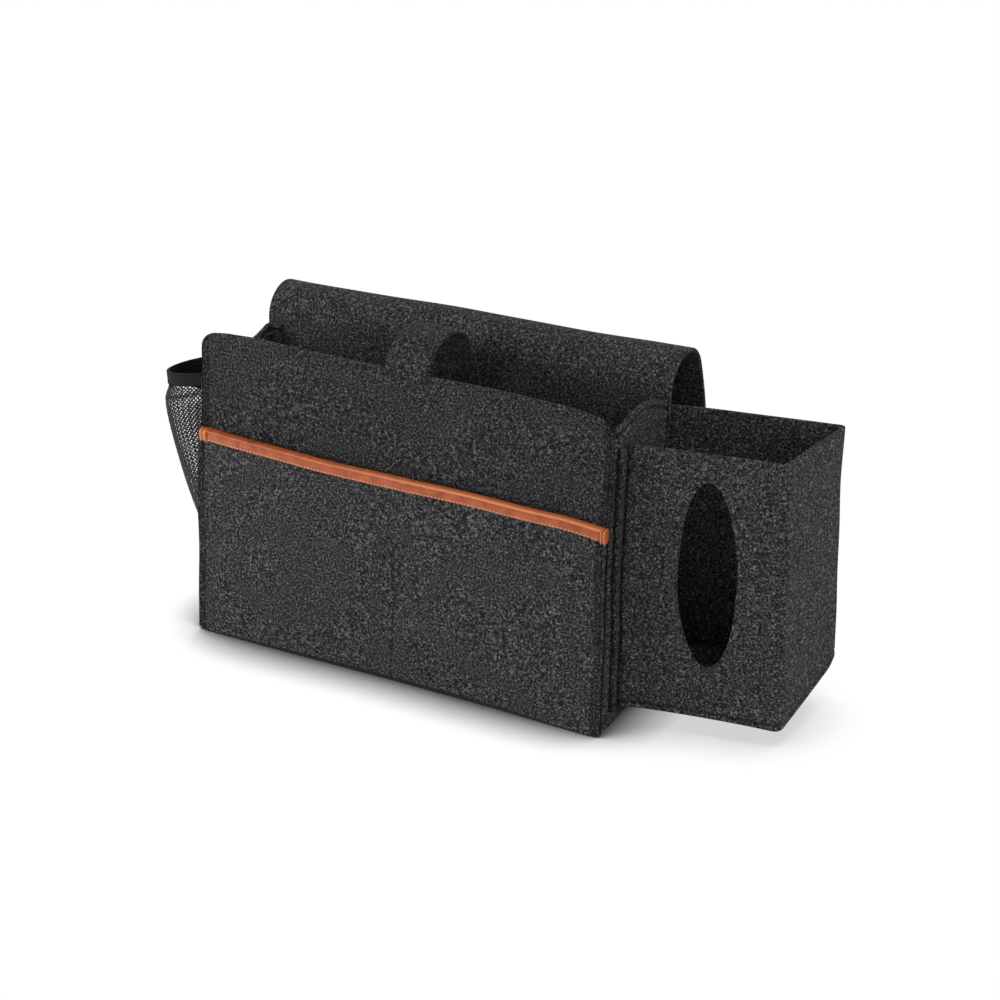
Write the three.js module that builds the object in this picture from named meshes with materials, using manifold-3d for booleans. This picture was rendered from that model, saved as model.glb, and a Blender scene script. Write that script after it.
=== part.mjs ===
// Bedside caddy sewn from felt sheet: a wide pocket with a flap that bends over backwards,
// a magazine pocket with a leather trim in front, a tissue pocket on the right side
// and a bottle pocket of net on the left side.
// Millimetres. X runs to the right, Y to the back, Z up.
// The origin is the middle of the main pocket's floor.
import * as THREE from 'three';
import { mergeVertices } from 'three/addons/utils/BufferGeometryUtils.js';
import { TessellateModifier } from 'three/addons/modifiers/TessellateModifier.js';
import Module from 'manifold-3d';

const wasm = await Module();
wasm.setup();

// Driving sizes of the main pocket
const bodyWidth = 345;
const bodyDepth = 105;
const frontHeight = 246;
const frontLean = 8;
const felt = 3;
const seamGap = 0.3;
const cutOverrun = 5;
const longestRun = 16;
const fullShare = 1;

// Front wall and the magazine pocket on it
const wallCornerRadius = 9;
const panelHeightLeft = 168.3;
const panelHeightRight = 164.3;
const panelBulge = 5;
const panelSeam = 12;
const panelMouthShares = [0.6, 0.95];
const panelFullShare = 0.5;
const panelColumns = 56;

// Leather trim along the top of the magazine pocket
const trimBand = 8.7;
const trimTurnIn = 7;
const leather = 1.2;
const trimCrown = 1.4;
const trimCrownShares = [0.45, 1, 0.9, 0.3];
const trimLevelShares = [0.5, 0.33, 0.16, -0.02];
const trimEndWidth = 6.5;
const trimEndProud = 1;

// Side walls of the main pocket
const seamFlange = 12;
const foldRadius = 4;
const gussetFrontRight = 236;
const gussetBackRight = 232;
const gussetCrownRight = 6;
const gussetFrontLeft = 230;
const gussetBackLeft = 225;
const gussetSagLeft = 10;

// Back wall, the bend at its top and the flap that goes under a mattress
const bendHeight = 228;
const bendRadius = 29;
const bendRadiusLeft = 24;
const bendTurn = THREE.MathUtils.degToRad(160);
const flapLength = 200;
const flapEndAngle = THREE.MathUtils.degToRad(6);

// Strap that bridges the main pocket from front to back
const bridgeWidth = 36;
const bridgePeakHeight = 266;
const bridgePeakDepth = 36;
const bridgeFrontRise = 31;
const bridgeBackRise = 115;
const bridgeFrontTab = 60;
const bridgeBackTab = 25;

// Tissue pocket
const tissueFold = 30;
const tissueWidth = 124;
const tissueYaw = THREE.MathUtils.degToRad(9.6);
const tissueDepth = 98;
const tissueTop = 220;
const tissueTopBackLeft = 226;
const tissueTopBackRight = 218;
const tissueFloor = 14;
const tissueFloorRise = 15;
const tissueFloorBow = 4;
const tissueSlant = 9;
const tissueFrontFlange = 13;
const tissueBackFlange = 15;
const tissueCornerRadius = 8;
const tissueBackRadius = 3;
const cornerCutShare = 1.1;
const holeWidth = 45;
const holeHeight = 143;
const holeAlong = 64.5;
const holeCentre = 126.5;
const holeTilt = THREE.MathUtils.degToRad(2.5);

// Bottle pocket of net
const netCentreDepth = 43.7;
const netHalfWidth = 29;
const netHalfFoot = 20;
const netReach = 52;
const netFootReach = 2.5;
const netTuck = 3;
const netFoot = 38;
const netHeight = 145;
const netFullShare = 0.9;
const netSwellPower = 1.42;
const netSheet = 1;
const netColumns = 13;
const netRows = 18;
const strandShare = 0.3;
const collarHeight = 12;
const collarWall = 1.8;
const collarInsideShare = 0.75;
const collarFlare = 2.5;
const collarLift = 17;
const tapeWidth = 7;
const tapeWall = 1.2;

// Places that follow from the sizes
const halfWidth = bodyWidth / 2;
const frontFace = -bodyDepth / 2;
const backFace = bodyDepth / 2;
const backInner = backFace - felt;
const leanAngle = Math.asin(frontLean / frontHeight);
const wallFace = frontFace + felt + seamGap;
const wallInner = wallFace + felt / Math.cos(leanAngle);
const wallInnerAt = (height) => wallInner + height * Math.tan(leanAngle);

// Materials
const feltMaterial = () => new THREE.MeshStandardMaterial({ color: 0x3a3b3d, roughness: 0.95, metalness: 0 });
const leatherMaterial = () => new THREE.MeshStandardMaterial({ color: 0xb5653a, roughness: 0.5, metalness: 0 });
const netMaterial = () => new THREE.MeshStandardMaterial({ color: 0x17181a, roughness: 0.8, metalness: 0 });

const part = new THREE.Group();

// Adds a geometry to a group as a named piece.
function addPiece(name, geometry, material, parent = part) {
  const mesh = new THREE.Mesh(geometry, material);
  mesh.name = name;
  parent.add(mesh);
  return mesh;
}

// Keeps only the positions, with shared corners merged.
function weld(geometry) {
  const bare = geometry.clone();
  bare.deleteAttribute('normal');
  bare.deleteAttribute('uv');
  return mergeVertices(bare);
}

// Moves every corner of a geometry by a rule.
function reshape(geometry, rule) {
  const bare = weld(geometry);
  const position = bare.attributes.position;
  const corner = new THREE.Vector3();
  for (let i = 0; i < position.count; i += 1) {
    corner.fromBufferAttribute(position, i);
    const moved = rule(corner);
    position.setXYZ(i, moved.x, moved.y, moved.z);
  }
  return bare;
}

function toSolid(geometry) {
  const bare = weld(geometry);
  const mesh = new wasm.Mesh({
    numProp: 3,
    vertProperties: new Float32Array(bare.attributes.position.array),
    triVerts: new Uint32Array(bare.index.array),
  });
  return new wasm.Manifold(mesh);
}

function fromSolid(solid) {
  const mesh = solid.getMesh();
  const geometry = new THREE.BufferGeometry();
  geometry.setAttribute('position', new THREE.BufferAttribute(new Float32Array(mesh.vertProperties), 3));
  geometry.setIndex(new THREE.BufferAttribute(new Uint32Array(mesh.triVerts), 1));
  return geometry;
}

// Rounds the corners of a line of points, each corner with its own radius, and returns the points.
function foldedPath(points, radii, stepsPerFold = 5) {
  const out = [points[0].clone()];
  for (let i = 1; i < points.length - 1; i += 1) {
    const into = points[i].clone().sub(points[i - 1]).normalize();
    const away = points[i + 1].clone().sub(points[i]).normalize();
    const turn = Math.acos(THREE.MathUtils.clamp(into.dot(away), -1, 1));
    const cut = radii[i - 1] * Math.tan(turn / 2);
    const start = points[i].clone().addScaledVector(into, -cut);
    const end = points[i].clone().addScaledVector(away, cut);
    const bend = new THREE.QuadraticBezierCurve(start, points[i], end);
    out.push(...bend.getPoints(stepsPerFold));
  }
  out.push(points[points.length - 1].clone());
  return out;
}

// Adds points to the long straight runs of a line, so that they can bow later.
function evenPath(path) {
  const out = [path[0]];
  for (let i = 1; i < path.length; i += 1) {
    const pieces = Math.ceil(path[i].distanceTo(path[i - 1]) / longestRun);
    for (let k = 1; k <= pieces; k += 1) out.push(path[i - 1].clone().lerp(path[i], k / pieces));
  }
  return out;
}

// Outline of a sheet of even thickness whose middle line is a list of points.
function sheetOutline(path, thickness) {
  const left = [];
  const right = [];
  for (let i = 0; i < path.length; i += 1) {
    const before = path[Math.max(i - 1, 0)];
    const after = path[Math.min(i + 1, path.length - 1)];
    const into = path[i].clone().sub(before).normalize();
    const away = after.clone().sub(path[i]).normalize();
    const along = into.add(away).normalize();
    const across = new THREE.Vector2(-along.y, along.x);
    const spread = i === 0 || i === path.length - 1 ? 1 : 1 / Math.max(along.dot(away), 0.5);
    left.push(path[i].clone().addScaledVector(across, (thickness * spread) / 2));
    right.push(path[i].clone().addScaledVector(across, (-thickness * spread) / 2));
  }
  return new THREE.Shape([...left, ...right.reverse()]);
}

// A sheet whose section is drawn in depth and height and runs across the width.
function sheetAcross(path, thickness, width) {
  const run = new THREE.ExtrudeGeometry(sheetOutline(path, thickness), { depth: width, bevelEnabled: false });
  return reshape(run, (p) => new THREE.Vector3(p.z - width / 2, p.x, p.y));
}

// A closed sheet between two faces on a grid: place(u, v, w) gives a point,
// u and v run from 0 to 1 over the sheet and w is 0 on one face and 1 on the other.
function gridSheet(columns, rows, place) {
  const corners = [];
  const faces = [];
  const at = (i, j, w) => (w * (rows + 1) + j) * (columns + 1) + i;
  for (let w = 0; w <= 1; w += 1) {
    for (let j = 0; j <= rows; j += 1) {
      for (let i = 0; i <= columns; i += 1) corners.push(place(i / columns, j / rows, w));
    }
  }
  const quad = (a, b, c, d) => faces.push(a, b, c, a, c, d);
  for (let j = 0; j < rows; j += 1) {
    for (let i = 0; i < columns; i += 1) {
      quad(at(i, j, 1), at(i + 1, j, 1), at(i + 1, j + 1, 1), at(i, j + 1, 1));
      quad(at(i, j, 0), at(i, j + 1, 0), at(i + 1, j + 1, 0), at(i + 1, j, 0));
    }
  }
  for (let i = 0; i < columns; i += 1) {
    quad(at(i, 0, 0), at(i + 1, 0, 0), at(i + 1, 0, 1), at(i, 0, 1));
    quad(at(i, rows, 0), at(i, rows, 1), at(i + 1, rows, 1), at(i + 1, rows, 0));
  }
  for (let j = 0; j < rows; j += 1) {
    quad(at(0, j, 0), at(0, j, 1), at(0, j + 1, 1), at(0, j + 1, 0));
    quad(at(columns, j, 0), at(columns, j + 1, 0), at(columns, j + 1, 1), at(columns, j, 1));
  }
  const geometry = new THREE.BufferGeometry();
  geometry.setAttribute('position', new THREE.BufferAttribute(
    new Float32Array(corners.flatMap((p) => [p.x, p.y, p.z])), 3));
  geometry.setIndex(faces);
  return geometry;
}

// Front wall, leaning back a little about its bottom edge
const front = new THREE.Group();
front.position.set(0, wallFace, felt * Math.sin(leanAngle));
front.rotation.x = -leanAngle;
part.add(front);

function frontWall() {
  const outline = new THREE.Shape();
  outline.moveTo(-halfWidth, 0);
  outline.lineTo(halfWidth, 0);
  outline.lineTo(halfWidth, frontHeight - wallCornerRadius);
  outline.absarc(halfWidth - wallCornerRadius, frontHeight - wallCornerRadius, wallCornerRadius, 0, Math.PI / 2);
  outline.lineTo(wallCornerRadius - halfWidth, frontHeight);
  outline.absarc(wallCornerRadius - halfWidth, frontHeight - wallCornerRadius, wallCornerRadius, Math.PI / 2, Math.PI);
  const run = new THREE.ExtrudeGeometry(outline, { depth: felt, bevelEnabled: false, curveSegments: 6 });
  return reshape(run, (p) => new THREE.Vector3(p.x, felt - p.z, p.y));
}

// Magazine pocket: flat where it is sewn, which is its sides, its foot and the seam up its middle.
// Each half swells a little, and at the mouth the two swell as one, because the trim bridges the seam.
// The top also leaves room for the trim's inner edge.
const panelTopAt = (x) => THREE.MathUtils.mapLinear(x, -halfWidth, halfWidth, panelHeightLeft, panelHeightRight);

function panelStandOff(x, rise) {
  const sewn = panelSeam / 2;
  const lobe = THREE.MathUtils.clamp((Math.abs(x) - sewn) / (halfWidth - panelSeam - sewn), 0, 1);
  const twoHalves = 1 - Math.abs(2 * lobe - 1) ** 3;
  const oneMouth = 1 - Math.min(Math.abs(x) / (halfWidth - panelSeam), 1) ** 4;
  const across = THREE.MathUtils.lerp(twoHalves, oneMouth, THREE.MathUtils.smoothstep(rise, ...panelMouthShares));
  const bulge = panelBulge * across * Math.sin((Math.PI / 2) * Math.min(rise / panelFullShare, 1));
  return bulge + (leather + seamGap) * rise;
}

function stations(from, to, count) {
  return Array.from({ length: count + 1 }, (_, i) => THREE.MathUtils.lerp(from, to, i / count));
}

const panelStations = stations(-halfWidth, halfWidth, panelColumns);

function frontPocketPanel() {
  return gridSheet(panelColumns, 10, (u, v, w) => {
    const x = THREE.MathUtils.lerp(-halfWidth, halfWidth, u);
    const back = -seamGap - panelStandOff(x, v);
    return new THREE.Vector3(x, back - w * felt, v * panelTopAt(x));
  });
}

// Leather trim: a strip folded over the panel's top edge, with a soft crown along its upper third.
// It follows the panel's top from one of the panel's columns to the next.
function trimSection(x, grow = 0) {
  const top = panelTopAt(x);
  const column = Math.min(Math.floor(((x + halfWidth) / bodyWidth) * panelColumns), panelColumns - 1);
  const [from, to] = [panelStations[column], panelStations[column + 1]];
  const share = (x - from) / (to - from);
  const standOff = THREE.MathUtils.lerp(panelStandOff(from, 1), panelStandOff(to, 1), share);
  const middle = -seamGap - standOff - felt / 2;
  const inner = felt / 2 + seamGap;
  const outer = inner + leather;
  const lip = leather + seamGap + grow;
  const bead = trimCrownShares.map((share, i) => [
    -outer - grow - share * trimCrown, -trimBand * trimLevelShares[i]]);
  const points = [
    [-outer - grow, -trimBand - grow],
    ...bead,
    [-inner, lip],
    [inner, lip],
    [outer, 0],
    [outer, -trimTurnIn],
    [inner, -trimTurnIn],
    [inner, seamGap],
    [-inner, seamGap],
    [-inner, -trimBand - grow],
  ];
  return points.map(([y, z]) => new THREE.Vector3(x, middle + y, top + z));
}

// Joins a row of like sections into one closed solid.
function loft(sections) {
  const count = sections[0].length;
  const corners = sections.flat();
  const faces = [];
  for (let s = 0; s < sections.length - 1; s += 1) {
    for (let i = 0; i < count; i += 1) {
      const next = (i + 1) % count;
      const a = s * count + i;
      const b = s * count + next;
      faces.push(a, b + count, b, a, a + count, b + count);
    }
  }
  const flat = sections[0].map((p) => new THREE.Vector2(p.y, p.z));
  const cap = THREE.ShapeUtils.triangulateShape(flat, []);
  const last = (sections.length - 1) * count;
  for (const [a, b, c] of cap) {
    faces.push(a, c, b);
    faces.push(last + a, last + b, last + c);
  }
  const geometry = new THREE.BufferGeometry();
  geometry.setAttribute('position', new THREE.BufferAttribute(
    new Float32Array(corners.flatMap((p) => [p.x, p.y, p.z])), 3));
  geometry.setIndex(faces);
  return geometry;
}

function trimRun(from, to, grow) {
  const between = panelStations.filter((x) => x > from && x < to);
  return loft([from, ...between, to].map((x) => trimSection(x, grow)));
}

function leatherTrim() {
  const reach = halfWidth - trimEndWidth - seamGap;
  return trimRun(-reach, reach, 0);
}

// The trim's end is turned over once more, so it stands a little proud of the band.
function trimEnd(side) {
  const outside = side * halfWidth;
  const inside = side * (halfWidth - trimEndWidth);
  return trimRun(Math.min(outside, inside), Math.max(outside, inside), trimEndProud);
}

addPiece('front_wall', frontWall(), feltMaterial(), front);
addPiece('front_pocket_panel', frontPocketPanel(), feltMaterial(), front);
addPiece('leather_trim', leatherTrim(), leatherMaterial(), front);
addPiece('trim_end_left', trimEnd(-1), leatherMaterial(), front);
addPiece('trim_end_right', trimEnd(1), leatherMaterial(), front);

// Side wall: its front and back margins are turned in behind the front wall and before the back wall.
function gusset(side, frontEdge, backEdge, crown) {
  const outer = halfWidth - felt / 2;
  const near = wallInner + seamGap + felt / 2;
  const far = backInner - seamGap - felt / 2;
  const path = foldedPath([
    new THREE.Vector2(side * (halfWidth - seamFlange), near),
    new THREE.Vector2(side * outer, near),
    new THREE.Vector2(side * outer, far),
    new THREE.Vector2(side * (halfWidth - seamFlange), far),
  ], [foldRadius, foldRadius], 4);
  const run = new THREE.ExtrudeGeometry(sheetOutline(evenPath(path), felt), { depth: fullShare, bevelEnabled: false });
  return reshape(run, (p) => {
    const share = THREE.MathUtils.clamp((p.y - near) / (far - near), 0, 1);
    const edge = THREE.MathUtils.lerp(frontEdge, backEdge, share) + crown * 4 * share * (1 - share);
    const height = p.z * edge;
    return new THREE.Vector3(p.x, p.y + height * Math.tan(leanAngle) * (1 - share), height);
  });
}

addPiece('left_gusset', gusset(-1, gussetFrontLeft, gussetBackLeft, -gussetSagLeft), feltMaterial());
addPiece('right_gusset', gusset(1, gussetFrontRight, gussetBackRight, gussetCrownRight), feltMaterial());

// Floor of the main pocket, between its four walls
function bottomPanel() {
  const side = halfWidth - felt - seamGap;
  const turned = halfWidth - seamFlange - seamGap;
  const near = wallInner + felt * Math.tan(leanAngle) + seamGap;
  const far = backInner - seamGap;
  const flange = felt + 2 * seamGap;
  const outline = new THREE.Shape([
    new THREE.Vector2(-turned, near),
    new THREE.Vector2(turned, near),
    new THREE.Vector2(turned, near + flange),
    new THREE.Vector2(side, near + flange + foldRadius),
    new THREE.Vector2(side, far - flange - foldRadius),
    new THREE.Vector2(turned, far - flange),
    new THREE.Vector2(turned, far),
    new THREE.Vector2(-turned, far),
    new THREE.Vector2(-turned, far - flange),
    new THREE.Vector2(-side, far - flange - foldRadius),
    new THREE.Vector2(-side, near + flange + foldRadius),
    new THREE.Vector2(-turned, near + flange),
  ]);
  return new THREE.ExtrudeGeometry(outline, { depth: felt, bevelEnabled: false });
}

addPiece('bottom_panel', bottomPanel(), feltMaterial());

// Back wall, bend and flap are one long sheet. Its middle line is worked out here in depth and height,
// for the right end. Towards the left end the bend narrows, and the flap hangs nearer to the back wall.
const bendCentre = new THREE.Vector2(backInner + bendRadius, bendHeight);
const bendMiddle = bendRadius - felt / 2;

function bendPoint(angle) {
  return new THREE.Vector2(-Math.cos(angle), Math.sin(angle)).multiplyScalar(bendMiddle).add(bendCentre);
}

function narrowed(p) {
  const angle = Math.atan2(p.z - bendCentre.y, bendCentre.x - p.y);
  const turn = p.y < bendCentre.x && p.z < bendCentre.y ? 0 : angle;
  const held = angle < 0 && p.y > bendCentre.x ? bendTurn : THREE.MathUtils.clamp(turn, 0, bendTurn);
  const less = ((bendRadiusLeft - bendRadius) * (halfWidth - p.x)) / bodyWidth;
  return new THREE.Vector3(p.x, p.y + less * (1 - Math.cos(held)), p.z + less * Math.sin(held));
}

function backPanel() {
  const middle = backInner + felt / 2;
  const path = [new THREE.Vector2(middle, 0), new THREE.Vector2(middle, bendHeight - seamGap)];
  return sheetAcross(path, felt, bodyWidth);
}

function archBend() {
  const path = stations(0, bendTurn, 18).map(bendPoint);
  return reshape(sheetAcross(path, felt, bodyWidth), narrowed);
}

function mattressFlap() {
  const steps = 12;
  const startAngle = Math.PI - bendTurn;
  const heading = (share) => THREE.MathUtils.lerp(startAngle, flapEndAngle, share);
  const down = (angle) => new THREE.Vector2(Math.sin(angle), -Math.cos(angle));
  const path = [bendPoint(bendTurn).addScaledVector(down(startAngle), seamGap)];
  for (let i = 0; i < steps; i += 1) {
    const stride = down(heading((i + 0.5) / steps)).multiplyScalar(flapLength / steps);
    path.push(path[i].clone().add(stride));
  }
  return reshape(sheetAcross(path, felt, bodyWidth), narrowed);
}

addPiece('back_panel', backPanel(), feltMaterial());
addPiece('arch_bend', archBend(), feltMaterial());
addPiece('mattress_flap', mattressFlap(), feltMaterial());

// Strap over the main pocket: sewn to the front wall, up and over in two quarter ellipses,
// and sewn to the back wall.
function centreBridge() {
  const peakY = wallInnerAt(frontHeight) + bridgePeakDepth;
  const peakZ = bridgePeakHeight - felt / 2;
  const spring = bridgePeakHeight - bridgeFrontRise;
  const frontY = (height) => wallInnerAt(height) + seamGap + felt / 2;
  const backY = backInner - seamGap - felt / 2;
  const path = [new THREE.Vector2(frontY(spring - bridgeFrontTab), spring - bridgeFrontTab)];
  for (const turn of stations(0, Math.PI / 2, 8)) {
    path.push(new THREE.Vector2(
      peakY - (peakY - frontY(spring)) * Math.cos(turn), spring + (peakZ - spring) * Math.sin(turn)));
  }
  for (const turn of stations(Math.PI / 2, 0, 12).slice(1)) {
    path.push(new THREE.Vector2(
      peakY + (backY - peakY) * Math.cos(turn),
      bridgePeakHeight - bridgeBackRise + (bridgeBackRise - felt / 2) * Math.sin(turn)));
  }
  path.push(new THREE.Vector2(backY, bridgePeakHeight - bridgeBackRise - bridgeBackTab));
  return sheetAcross(path, felt, bridgeWidth);
}

addPiece('centre_bridge', centreBridge(), feltMaterial());

// Tissue pocket: one sheet that starts flat on the side wall, turns out as the pocket's front,
// folds round two corners and ends flat behind the back wall.
const tissueRoot = halfWidth + seamGap + felt / 2;
const tissueRun = new THREE.Vector2(Math.cos(tissueYaw), Math.sin(tissueYaw));
const tissueNearLeft = new THREE.Vector2(tissueRoot, frontFace + tissueFold);
const tissueNearRight = tissueNearLeft.clone().addScaledVector(tissueRun, tissueWidth);
const tissueFarRight = tissueNearRight.clone().add(new THREE.Vector2(0, tissueDepth));
const tissueFarLeft = new THREE.Vector2(tissueRoot, backFace + seamGap + felt / 2);
const frontLineAt = (x) => tissueNearLeft.y + (x - tissueRoot) * Math.tan(tissueYaw);
const tissueShareOut = (x) => THREE.MathUtils.clamp((x - tissueRoot) / (tissueNearRight.x - tissueRoot), 0, 1);
const tissueShareBack = (x, y) => THREE.MathUtils.clamp((y - frontLineAt(x)) / tissueDepth, 0, 1);
const tissueFloorAt = (x, y) => tissueFloor + tissueFloorRise * tissueShareBack(x, y)
  + tissueFloorBow * 4 * tissueShareOut(x) * (1 - tissueShareOut(x));
const tissueTopAt = (x, y) => {
  const rear = THREE.MathUtils.lerp(tissueTopBackLeft, tissueTopBackRight, tissueShareOut(x));
  const reach = THREE.MathUtils.lerp(tissueFarLeft.y - tissueNearLeft.y, tissueDepth, tissueShareOut(x));
  return THREE.MathUtils.lerp(tissueTop, rear, Math.min((tissueShareBack(x, y) * tissueDepth) / reach, 1));
};
const tissueLean = (x, height) => (tissueSlant * tissueShareOut(x) * (height - tissueFloor)) / (tissueTop - tissueFloor);

// Stands a wall of the tissue pocket up between the pocket's floor line and its top line.
function tissueWall(path) {
  const run = new THREE.ExtrudeGeometry(sheetOutline(path, felt), { depth: fullShare, bevelEnabled: false });
  return reshape(run, (p) => {
    const height = THREE.MathUtils.lerp(tissueFloorAt(p.x, p.y), tissueTopAt(p.x, p.y), p.z);
    return new THREE.Vector3(p.x - tissueLean(p.x, height), p.y, height);
  });
}

// How far a fold of that radius takes up the runs on either side of its corner, with a share to spare.
function cornerCut(before, corner, after, radius) {
  const turn = corner.clone().sub(before).angleTo(after.clone().sub(corner));
  return seamGap + radius * Math.tan(turn / 2) * cornerCutShare;
}

const nearCut = cornerCut(tissueNearLeft, tissueNearRight, tissueFarRight, tissueCornerRadius);
const farCut = cornerCut(tissueNearRight, tissueFarRight, tissueFarLeft, tissueBackRadius);
const tissueSideStart = tissueNearRight.clone().add(new THREE.Vector2(0, nearCut));
const tissueSideEnd = tissueFarRight.clone().add(new THREE.Vector2(0, -farCut));

function tissueHole() {
  const round = new THREE.Shape();
  round.absellipse(0, 0, holeWidth / 2, holeHeight / 2, 0, 2 * Math.PI);
  const depth = felt + 2 * cutOverrun;
  const run = new THREE.ExtrudeGeometry(round, { depth, bevelEnabled: false, curveSegments: 18 });
  const place = new THREE.Group();
  const centre = tissueNearLeft.clone().addScaledVector(tissueRun, holeAlong);
  const punch = new THREE.Mesh(run);
  punch.position.z = -depth / 2;
  const tilt = new THREE.Group();
  tilt.rotation.z = holeTilt;
  tilt.add(punch);
  const upright = new THREE.Group();
  upright.rotation.x = Math.PI / 2;
  upright.add(tilt);
  place.add(upright);
  place.rotation.z = tissueYaw;
  place.position.set(centre.x - tissueLean(centre.x, holeCentre), centre.y, holeCentre);
  place.updateMatrixWorld(true);
  return weld(run).applyMatrix4(punch.matrixWorld);
}

function tissueFront() {
  const path = foldedPath([
    tissueNearLeft.clone().add(new THREE.Vector2(0, -tissueFrontFlange)),
    tissueNearLeft,
    tissueNearRight,
    tissueSideStart.clone().add(new THREE.Vector2(0, -seamGap)),
  ], [foldRadius, tissueCornerRadius], 6);
  return fromSolid(toSolid(tissueWall(evenPath(path))).subtract(toSolid(tissueHole())));
}

function tissueBack() {
  const path = foldedPath([
    tissueSideEnd.clone().add(new THREE.Vector2(0, seamGap)),
    tissueFarRight,
    tissueFarLeft,
    tissueFarLeft.clone().add(new THREE.Vector2(-tissueBackFlange, 0)),
  ], [tissueBackRadius, foldRadius], 6);
  return tissueWall(evenPath(path));
}

function tissueBottom() {
  const inset = felt / 2 + seamGap;
  const across = inset / Math.cos(tissueYaw);
  const backRun = tissueFarRight.clone().sub(tissueFarLeft);
  const backSlope = backRun.y / backRun.x;
  const backAcross = inset * Math.hypot(1, backSlope);
  const left = halfWidth + seamGap;
  const right = tissueNearRight.x - inset;
  const clip = tissueCornerRadius / 2;
  const nearY = (x) => frontLineAt(x) + across;
  const farY = (x) => tissueFarLeft.y + (x - tissueRoot) * backSlope - backAcross;
  const between = stations(left + foldRadius, right - clip, 8);
  const outline = new THREE.Shape([
    new THREE.Vector2(left, nearY(left) + foldRadius / 2),
    ...between.map((x) => new THREE.Vector2(x, nearY(x))),
    new THREE.Vector2(right, nearY(right) + clip),
    new THREE.Vector2(right, farY(right) - clip),
    ...between.reverse().map((x) => new THREE.Vector2(x, farY(x))),
    new THREE.Vector2(left, farY(left) - foldRadius / 2),
  ]);
  const run = new THREE.ExtrudeGeometry(outline, { depth: felt, bevelEnabled: false });
  return reshape(run, (p) => {
    const height = p.z + tissueFloorAt(p.x, p.y);
    return new THREE.Vector3(p.x - tissueLean(p.x, height), p.y, height);
  });
}

addPiece('tissue_front', tissueFront(), feltMaterial());
addPiece('tissue_side', tissueWall([tissueSideStart, tissueSideEnd]), feltMaterial());
addPiece('tissue_back', tissueBack(), feltMaterial());
addPiece('tissue_bottom', tissueBottom(), feltMaterial());

// Bottle pocket: a net pouch on the left side wall. Round its girth it is half an ellipse.
// Its reach from the wall grows from the foot upwards, the elastic draws it in a little at the collar,
// and its rim hangs lower away from the wall.
const netWall = -halfWidth - tapeWall - 2 * seamGap;
const netMiddle = frontFace + netCentreDepth;
const netHalfAt = (rise) => THREE.MathUtils.lerp(netHalfFoot, netHalfWidth, Math.min(rise, 1));

function netReachAt(rise) {
  const swell = 1 - (1 - Math.min(rise / netFullShare, 1)) ** netSwellPower;
  const tuck = netTuck * THREE.MathUtils.smoothstep(rise, netFullShare, 1);
  return THREE.MathUtils.lerp(netFootReach, netReach, swell) - tuck;
}

function pouchPoint(girth, rise, proud, above = 0) {
  const turn = Math.PI * girth;
  const reach = netReachAt(rise) + proud;
  const half = netHalfAt(rise) + proud;
  const lift = collarLift * (1 - Math.sin(turn)) * Math.min(rise, 1);
  return new THREE.Vector3(
    netWall - reach * Math.sin(turn),
    netMiddle - half * Math.cos(turn),
    netFoot + netHeight * rise + lift + above);
}

// The net is drawn flat as a sheet with staggered diamond gaps, then bent to the pouch.
function bottleNet() {
  const girth = (Math.PI * (netHalfWidth + netReach)) / 2;
  const cellWidth = girth / netColumns;
  const cellHeight = netHeight / netRows;
  const along = stations(0, girth, 2 * netColumns);
  const up = stations(0, netHeight, netRows);
  const sheet = new THREE.Shape([
    ...along.map((x) => new THREE.Vector2(x, 0)),
    ...up.slice(1).map((y) => new THREE.Vector2(girth, y)),
    ...along.slice(0, -1).reverse().map((x) => new THREE.Vector2(x, netHeight)),
    ...up.slice(1, -1).reverse().map((y) => new THREE.Vector2(0, y)),
  ]);
  const halfX = (cellWidth / 2) * (1 - strandShare);
  const halfY = cellHeight * (1 - strandShare);
  for (let row = 1; row < netRows; row += 1) {
    const shift = row % 2 ? 0.5 : 1;
    for (let x = shift * cellWidth; x < girth - cellWidth / 3; x += cellWidth) {
      const y = row * cellHeight;
      sheet.holes.push(new THREE.Path([
        new THREE.Vector2(x - halfX, y),
        new THREE.Vector2(x, y - halfY),
        new THREE.Vector2(x + halfX, y),
        new THREE.Vector2(x, y + halfY),
      ]));
    }
  }
  const run = new THREE.ExtrudeGeometry(sheet, { depth: fullShare, bevelEnabled: false });
  const fine = new TessellateModifier(2 * cellWidth, 12).modify(run);
  return reshape(fine, (p) => pouchPoint(1 - p.x / girth, p.y / netHeight, (p.z - fullShare) * netSheet));
}

function elasticCollar() {
  return gridSheet(24, 1, (u, v, w) => {
    const proud = collarWall * (w - collarInsideShare) + collarFlare * v;
    return pouchPoint(1 - u, 1, proud, seamGap + v * collarHeight);
  });
}

// Tape that binds the net's sides and foot to the side wall
function netBinding() {
  const top = netFoot + netHeight + collarLift + collarHeight;
  const outline = (grow) => [
    [netMiddle - netHalfWidth - grow, top],
    [netMiddle - netHalfFoot - grow, netFoot - grow],
    [netMiddle + netHalfFoot + grow, netFoot - grow],
    [netMiddle + netHalfWidth + grow, top],
  ];
  const outside = outline(tapeWidth / 2);
  const inside = outline(-tapeWidth / 2).reverse();
  const shape = new THREE.Shape([...outside, ...inside].map(([y, z]) => new THREE.Vector2(y, z)));
  const run = new THREE.ExtrudeGeometry(shape, { depth: tapeWall, bevelEnabled: false });
  return reshape(run, (p) => new THREE.Vector3(p.z - halfWidth - tapeWall - seamGap, p.x, p.y));
}

addPiece('bottle_net', bottleNet(), netMaterial());
addPiece('elastic_collar', elasticCollar(), netMaterial());
addPiece('net_binding', netBinding(), netMaterial());

export default part;
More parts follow.
